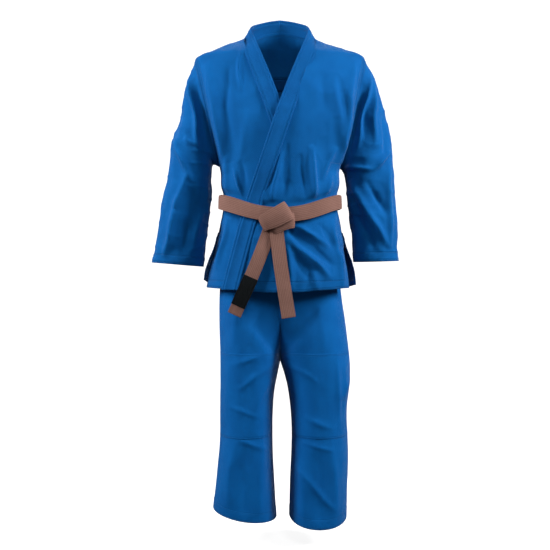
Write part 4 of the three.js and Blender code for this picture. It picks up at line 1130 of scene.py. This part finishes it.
# %% Patch maker
def patch(name, source, columns, rows, off, material=pearl, thick=0.0018, corner=0.0):
    """A cloth of some columns and rows of another's grid, off it along its normals. corner trims the four
    corners, by pulling the ends of the edge columns and rows in to a rounded outline."""
    take = np.ix_(np.asarray(columns), np.asarray(rows))
    points = source["points"][take] + source["out"][take] * off
    if corner:
        middle = points.mean((0, 1))
        u = np.linspace(-1, 1, points.shape[0])[:, None, None]
        v = np.linspace(-1, 1, points.shape[1])[None, :, None]
        points = points - (points - middle) * corner * (np.abs(u) ** 3) * (np.abs(v) ** 3)
    sides = edge_distances(points)
    hem = np.minimum(np.min(sides, 0), 0.012)
    inside = points - source["out"][take] * 0.05
    piece = cloth(name, points, material, thick, inside=inside, hem=hem)
    return {"piece": piece, "points": points, "out": source["out"][take], "base": points}


def level_rows(source, high, low, count=110):
    """The grid again, with level rows between two heights: each column's points are taken from its height."""
    height = np.linspace(high, low, count)
    made = {}
    for key in ("points", "out"):
        columns = [[np.interp(-height, -z, line[:, k]) for k in range(3)]
                   for z, line in zip(source["points"][..., 2], source[key])]
        made[key] = np.moveaxis(np.array(columns), 1, -1)
    return made


def rows_between(source, high, low):
    """The rows of a grid whose mean height lies between those two."""
    mean = source["points"][..., 2].mean(0)
    return np.where((mean <= high) & (mean >= low))[0]


def last_rows(source, width):
    """The rows within that distance of the lower edge, and the one before."""
    points = source["points"]
    step = np.linalg.norm(np.diff(points, axis=1), axis=-1).mean(0)
    from_end = np.concatenate([np.cumsum(step[::-1])[::-1], [0]])
    return np.where(from_end <= width + 1e-4)[0]

# %% Jacket trims
HEM = 0.026
INSIDE = -CLOTH - 0.0004  # where a facing lies: a cloth's thickness in, and a hair
back_columns = back["points"].shape[0]
yoke_rows = np.arange(2, 2 + int(0.16 * back["points"].shape[1]))
yoke = patch("yoke_cloth", back, np.arange(6, back_columns - 6), yoke_rows, INSIDE, thick=0.0016)
label_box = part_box("neck_label")
label_columns = np.where(np.abs(back["points"][:, 30, 0]) < label_box[1][0])[0]
label_rows = rows_between(back, label_box[1][2] - 0.012, label_box[0][2])
label = patch("blank_label", back, label_columns, label_rows, -CLOTH - 0.0026, label_cotton, 0.0009)


def turned_hem(name, source):
    """The cloth turned up inside along the whole lower edge."""
    columns = np.arange(source["points"].shape[0])
    return patch(name, source, columns, last_rows(source, HEM), INSIDE, thick=0.0012)


left_hem = turned_hem("left_front_hem", left_front)
right_hem = turned_hem("right_front_hem", right_front)
back_hem = turned_hem("back_hem", back)


def vent_patch(name, source, columns):
    """A small square of cloth that keeps a side opening from tearing further."""
    return patch(name, source, columns, rows_between(source, VENT_TOP + 0.020, VENT_TOP - 0.022), 0.0003,
                 thick=0.0014)


left_vent = vent_patch("left_front_vent_patch", left_front, np.arange(0, 16))
right_vent = vent_patch("right_front_vent_patch", right_front, np.arange(0, 16))
back_vents = [vent_patch("back_left_vent_patch", back, np.arange(back_columns - 16, back_columns)),
              vent_patch("back_right_vent_patch", back, np.arange(0, 16))]
if back["points"][0, 100, 0] > 0:
    back_vents = back_vents[::-1]

# %% Sleeve trims
def closed_rows(name, source, rows, off, material, thick=0.0014):
    """A tube of some rows of a tube, off it along its normals, for facings inside cuffs and ankles."""
    points = source["points"][:, rows] + source["out"][:, rows] * off
    inside = points - source["out"][:, rows] * 0.03
    down = np.linalg.norm(np.diff(points, axis=1, prepend=points[:, :1]), axis=-1).cumsum(1)
    piece = cloth(name, points, material, thick, ring=True, inside=inside, hem=down)
    return {"piece": piece, "points": points, "out": source["out"][:, rows], "base": points}


cuffs, gussets = {}, {}
for label_side, source in (("left", left_sleeve), ("right", right_sleeve)):
    cuffs[label_side] = closed_rows(f"{label_side}_cuff_inside", source, last_rows(source, HEM), INSIDE,
                                    pearl)
    half = source["points"].shape[0] // 2
    gussets[label_side] = patch(f"{label_side}_underarm_gusset", source, np.arange(half - 13, half + 14),
                                np.arange(1, 44),
                                0.0004, thick=0.0014, corner=0.35)

# %% Trouser trims
def leg_trims(label, source):
    """The knee patch over the front half of the leg, the facing inside the ankle and the crotch gusset."""
    columns = source["points"].shape[0]
    seat = source["seat_rows"]
    knee_columns = np.arange(int(0.045 * columns), int(0.50 * columns))
    knee = patch(f"{label}_knee_cloth", level_rows(source, -0.927, -1.175), knee_columns, np.arange(110),
                 0.0004, canvas, 0.0016)
    open_leg = {key: source[key][:-1] for key in ("points", "out")}
    ankle = closed_rows(f"{label}_ankle_inside", open_leg, last_rows(source, HEM), INSIDE, canvas)
    order = np.concatenate([np.arange(columns - 13, columns - 1), np.arange(0, 13)])
    gusset = patch(f"{label}_crotch_cloth", source, order, np.arange(seat + 1, seat + 42), 0.0004, canvas,
                   0.0014, corner=0.4)
    return {"knee": knee, "ankle": ankle, "gusset": gusset}


trims = {"left": leg_trims("left", left_half), "right": leg_trims("right", right_half)}
print("knee patch", round(grid_area(trims["left"]["knee"]["points"]), 3), "m2")

# %% [markdown]
# The waistband is a doubled ring of cloth with two slots in front for a drawstring, and four loops to
# guide it. All of it is hidden under the jacket until the trousers are lowered.

# %% Waistband
def waist_ring(name, off, thick, high, low, slots=False, columns=200, rows=22):
    """A ring round the top of the trousers, off their form by that much, with two holes if slots."""
    turn = np.linspace(0, 2 * np.pi, columns, endpoint=False)[:, None]
    z = np.linspace(high, low, rows)[None]
    width = through(TROUSER_FORM, z, 1)
    depth = np.where(np.sin(turn) > 0, through(TROUSER_FORM, z, 2), through(TROUSER_FORM, z, 3))
    x = width * power(np.cos(turn), 2 / ROUNDNESS)
    base = np.stack([x, -depth * power(np.sin(turn), 2 / ROUNDNESS), np.broadcast_to(z, x.shape)], -1)
    inside = base * [0, 0, 1]
    n = normals(base, inside, ring=True)
    points = base + n * (off + 0.0006 * noise(base, 0.02, 60))[..., None]
    down = np.broadcast_to(np.linspace(0, high - low, rows)[None], x.shape)
    piece = cloth(name, points, canvas, thick, ring=True, inside=inside,
                  hem=np.minimum(down, high - low - down))
    if slots:
        mesh = piece.data
        at = np.zeros(len(mesh.polygons) * 3, np.float32)
        mesh.polygons.foreach_get("center", at)
        at = at.reshape(-1, 3)
        slot = (np.abs(np.abs(at[:, 0]) - 0.030) < 0.007) & (at[:,
                1] < 0) & (np.abs(at[:, 2] - (high + low) / 2) < 0.0035)
        work = bmesh.new()
        work.from_mesh(mesh)
        work.faces.ensure_lookup_table()
        bmesh.ops.delete(work, geom=[work.faces[k] for k in np.where(slot)[0]], context="FACES")
        work.to_mesh(mesh)
        work.free()
        print("slot faces cut", int(slot.sum()))
    return {"piece": piece, "points": points, "out": n, "base": base}


band_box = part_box("waistband")
waistband = waist_ring("waistband_cloth", 0.0052, 0.0020, band_box[1][2], band_box[0][2], slots=True)
waist_facing = waist_ring("waistband_lining", -0.0006, 0.0014, band_box[1][2] - 0.001, band_box[0][2] + 0.001)

# %% Cord loops
def cord_loop(node_name):
    """A strap that stands off the waistband in the middle, wide as the CAD's loop and as tall."""
    low, high = (np.array(corner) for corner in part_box(node_name))
    centre = (low + high) / 2
    z = centre[2] + np.linspace(-1, 1, 30) * ((high - low)[2] / 2 - 0.001)
    turn = np.arctan2(-centre[1] / 0.09, centre[0] / 0.16)
    width = through(TROUSER_FORM, z, 1)
    depth = through(TROUSER_FORM, z, 2 if centre[1] < 0 else 3)
    spots = []
    for step in (-0.01, 0, 0.01):
        x = width * power(np.cos(turn + step), 2 / ROUNDNESS)
        spots.append(np.stack([x, -depth * power(np.sin(turn + step), 2 / ROUNDNESS), z], -1))
    tangent = unit(spots[2] - spots[0])
    out = unit(np.cross(tangent, np.array([0, 0, 1])))
    out *= np.where(np.sum(out * spots[1], -1, keepdims=True) < 0, -1, 1)
    stand = 0.0058 + 0.0046 * smooth((1 - np.abs(np.linspace(-1, 1, 30))) / 0.45)
    line = spots[1] + out * stand[:, None]
    side = tangent * 0.006
    ahead = unit(np.gradient(line, axis=0))
    outward = unit(np.cross(ahead, side))
    outward *= np.where(np.sum(outward * out, -1, keepdims=True) < 0, -1, 1)
    return band(node_name + "_strap", line - side, line + side, outward, 0.0014, collar_cloth, [0.2, 0.8],
                0.0003, around=24)


LOOPS = ["cord_loop_front_left", "cord_loop_front_right", "cord_loop_back_right", "cord_loop_back_left"]
loops = [cord_loop(name) for name in LOOPS]

# %% [markdown]
# ## How the pieces move
#
# The large pieces that cross a joint, the fronts with their collar bands, the back, the sleeves and
# the trouser halves, only have their placement baked into their meshes here. Small pieces ride on
# one part.


def bend(where, *pieces):
    for piece in pieces:
        piece = piece["piece"] if isinstance(piece, dict) else piece
        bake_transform(piece)


def ride(part, *pieces):
    for piece in pieces:
        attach(piece["piece"] if isinstance(piece, dict) else piece, part)


bend("left_skirt", left_front, left_collar, left_vent)
bend("right_skirt", right_front, right_collar, right_vent)
bend("back_skirt", back, *back_vents)
bend("left_sleeve", left_sleeve, gussets["left"])
bend("right_sleeve", right_sleeve, gussets["right"])
bend("left_leg", left_half, trims["left"]["gusset"])
bend("right_leg", right_half, trims["right"]["gusset"])
ride("jacket", yoke, label, inner_wrap, outer_wrap, knot_over, knot_under)
ride("outer_skirt", left_hem)
ride("inner_skirt", right_hem)
ride("back_skirt", back_hem)
ride("plain_tail", plain_end)
ride("bar_tail", bar_end, bar)
ride("left_sleeve", cuffs["left"])
ride("right_sleeve", cuffs["right"])
ride("trousers", waistband, waist_facing, *loops)
ride("left_leg", trims["left"]["knee"], trims["left"]["ankle"])
ride("right_leg", trims["right"]["knee"], trims["right"]["ankle"])

# %% What each piece stands for
STANDS_FOR = [
    (left_front, "jacket_cloth", ["left_front_panel", "left_skirt_panel"]),
    (right_front, "jacket_cloth", ["right_front_panel", "right_skirt_panel"]),
    (back, "jacket_cloth", ["back_panel", "back_skirt_panel"]),
    (yoke, "jacket_cloth", ["shoulder_yoke"]),
    (label, "label_cloth", ["neck_label"]),
    (left_collar, "collar_cloth", ["collar_band", "collar_core", "left_lapel", "left_lapel_core"]),
    (right_collar, "collar_cloth", ["right_lapel", "right_lapel_core"]),
    (inner_wrap, "belt_cloth", ["belt_inner_wrap"]),
    (outer_wrap, "belt_cloth", ["belt_outer_wrap"]),
    (knot_over, "belt_cloth", ["belt_knot_over"]),
    (knot_under, "belt_cloth", ["belt_knot_under"]),
    (plain_end, "belt_cloth", ["belt_plain_tail"]),
    (bar_end, "belt_cloth", ["belt_bar_tail"]),
    (bar, "bar_cloth", ["rank_bar"]),
    (left_hem, "jacket_cloth", ["left_skirt_hem"]),
    (right_hem, "jacket_cloth", ["right_skirt_hem"]),
    (back_hem, "jacket_cloth", ["back_skirt_hem"]),
    (left_vent, "jacket_cloth", ["left_vent_patch"]),
    (right_vent, "jacket_cloth", ["right_vent_patch"]),
    (back_vents[0], "jacket_cloth", ["back_left_vent_patch"]),
    (back_vents[1], "jacket_cloth", ["back_right_vent_patch"]),
    (waistband, "trouser_cloth", ["waistband"]),
    (waist_facing, "trouser_cloth", ["waistband_facing"]),
]
for side_name, sleeve_cloth, half_cloth in (("left", left_sleeve, left_half),
                                            ("right", right_sleeve, right_half)):
    STANDS_FOR += [
        (sleeve_cloth, "jacket_cloth", [f"{side_name}_sleeve_panel"]),
        (cuffs[side_name], "jacket_cloth", [f"{side_name}_cuff_facing"]),
        (gussets[side_name], "jacket_cloth", [f"{side_name}_armpit_gusset"]),
        (half_cloth, "trouser_cloth", [f"{side_name}_leg_panel", f"trouser_seat_{side_name}"]),
        (trims[side_name]["knee"], "trouser_cloth", [f"{side_name}_knee_patch"]),
        (trims[side_name]["gusset"], "trouser_cloth", [f"{side_name}_crotch_gusset"]),
        (trims[side_name]["ankle"], "trouser_cloth", [f"{side_name}_ankle_facing"]),
    ]
STANDS_FOR += [(loop, "trouser_cloth", [name]) for loop, name in zip(loops, LOOPS)]
for piece, slot_name, nodes in STANDS_FOR:
    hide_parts(*nodes)
print(len(STANDS_FOR), "pieces stand for", sum(len(nodes) for _, _, nodes in STANDS_FOR), "nodes")
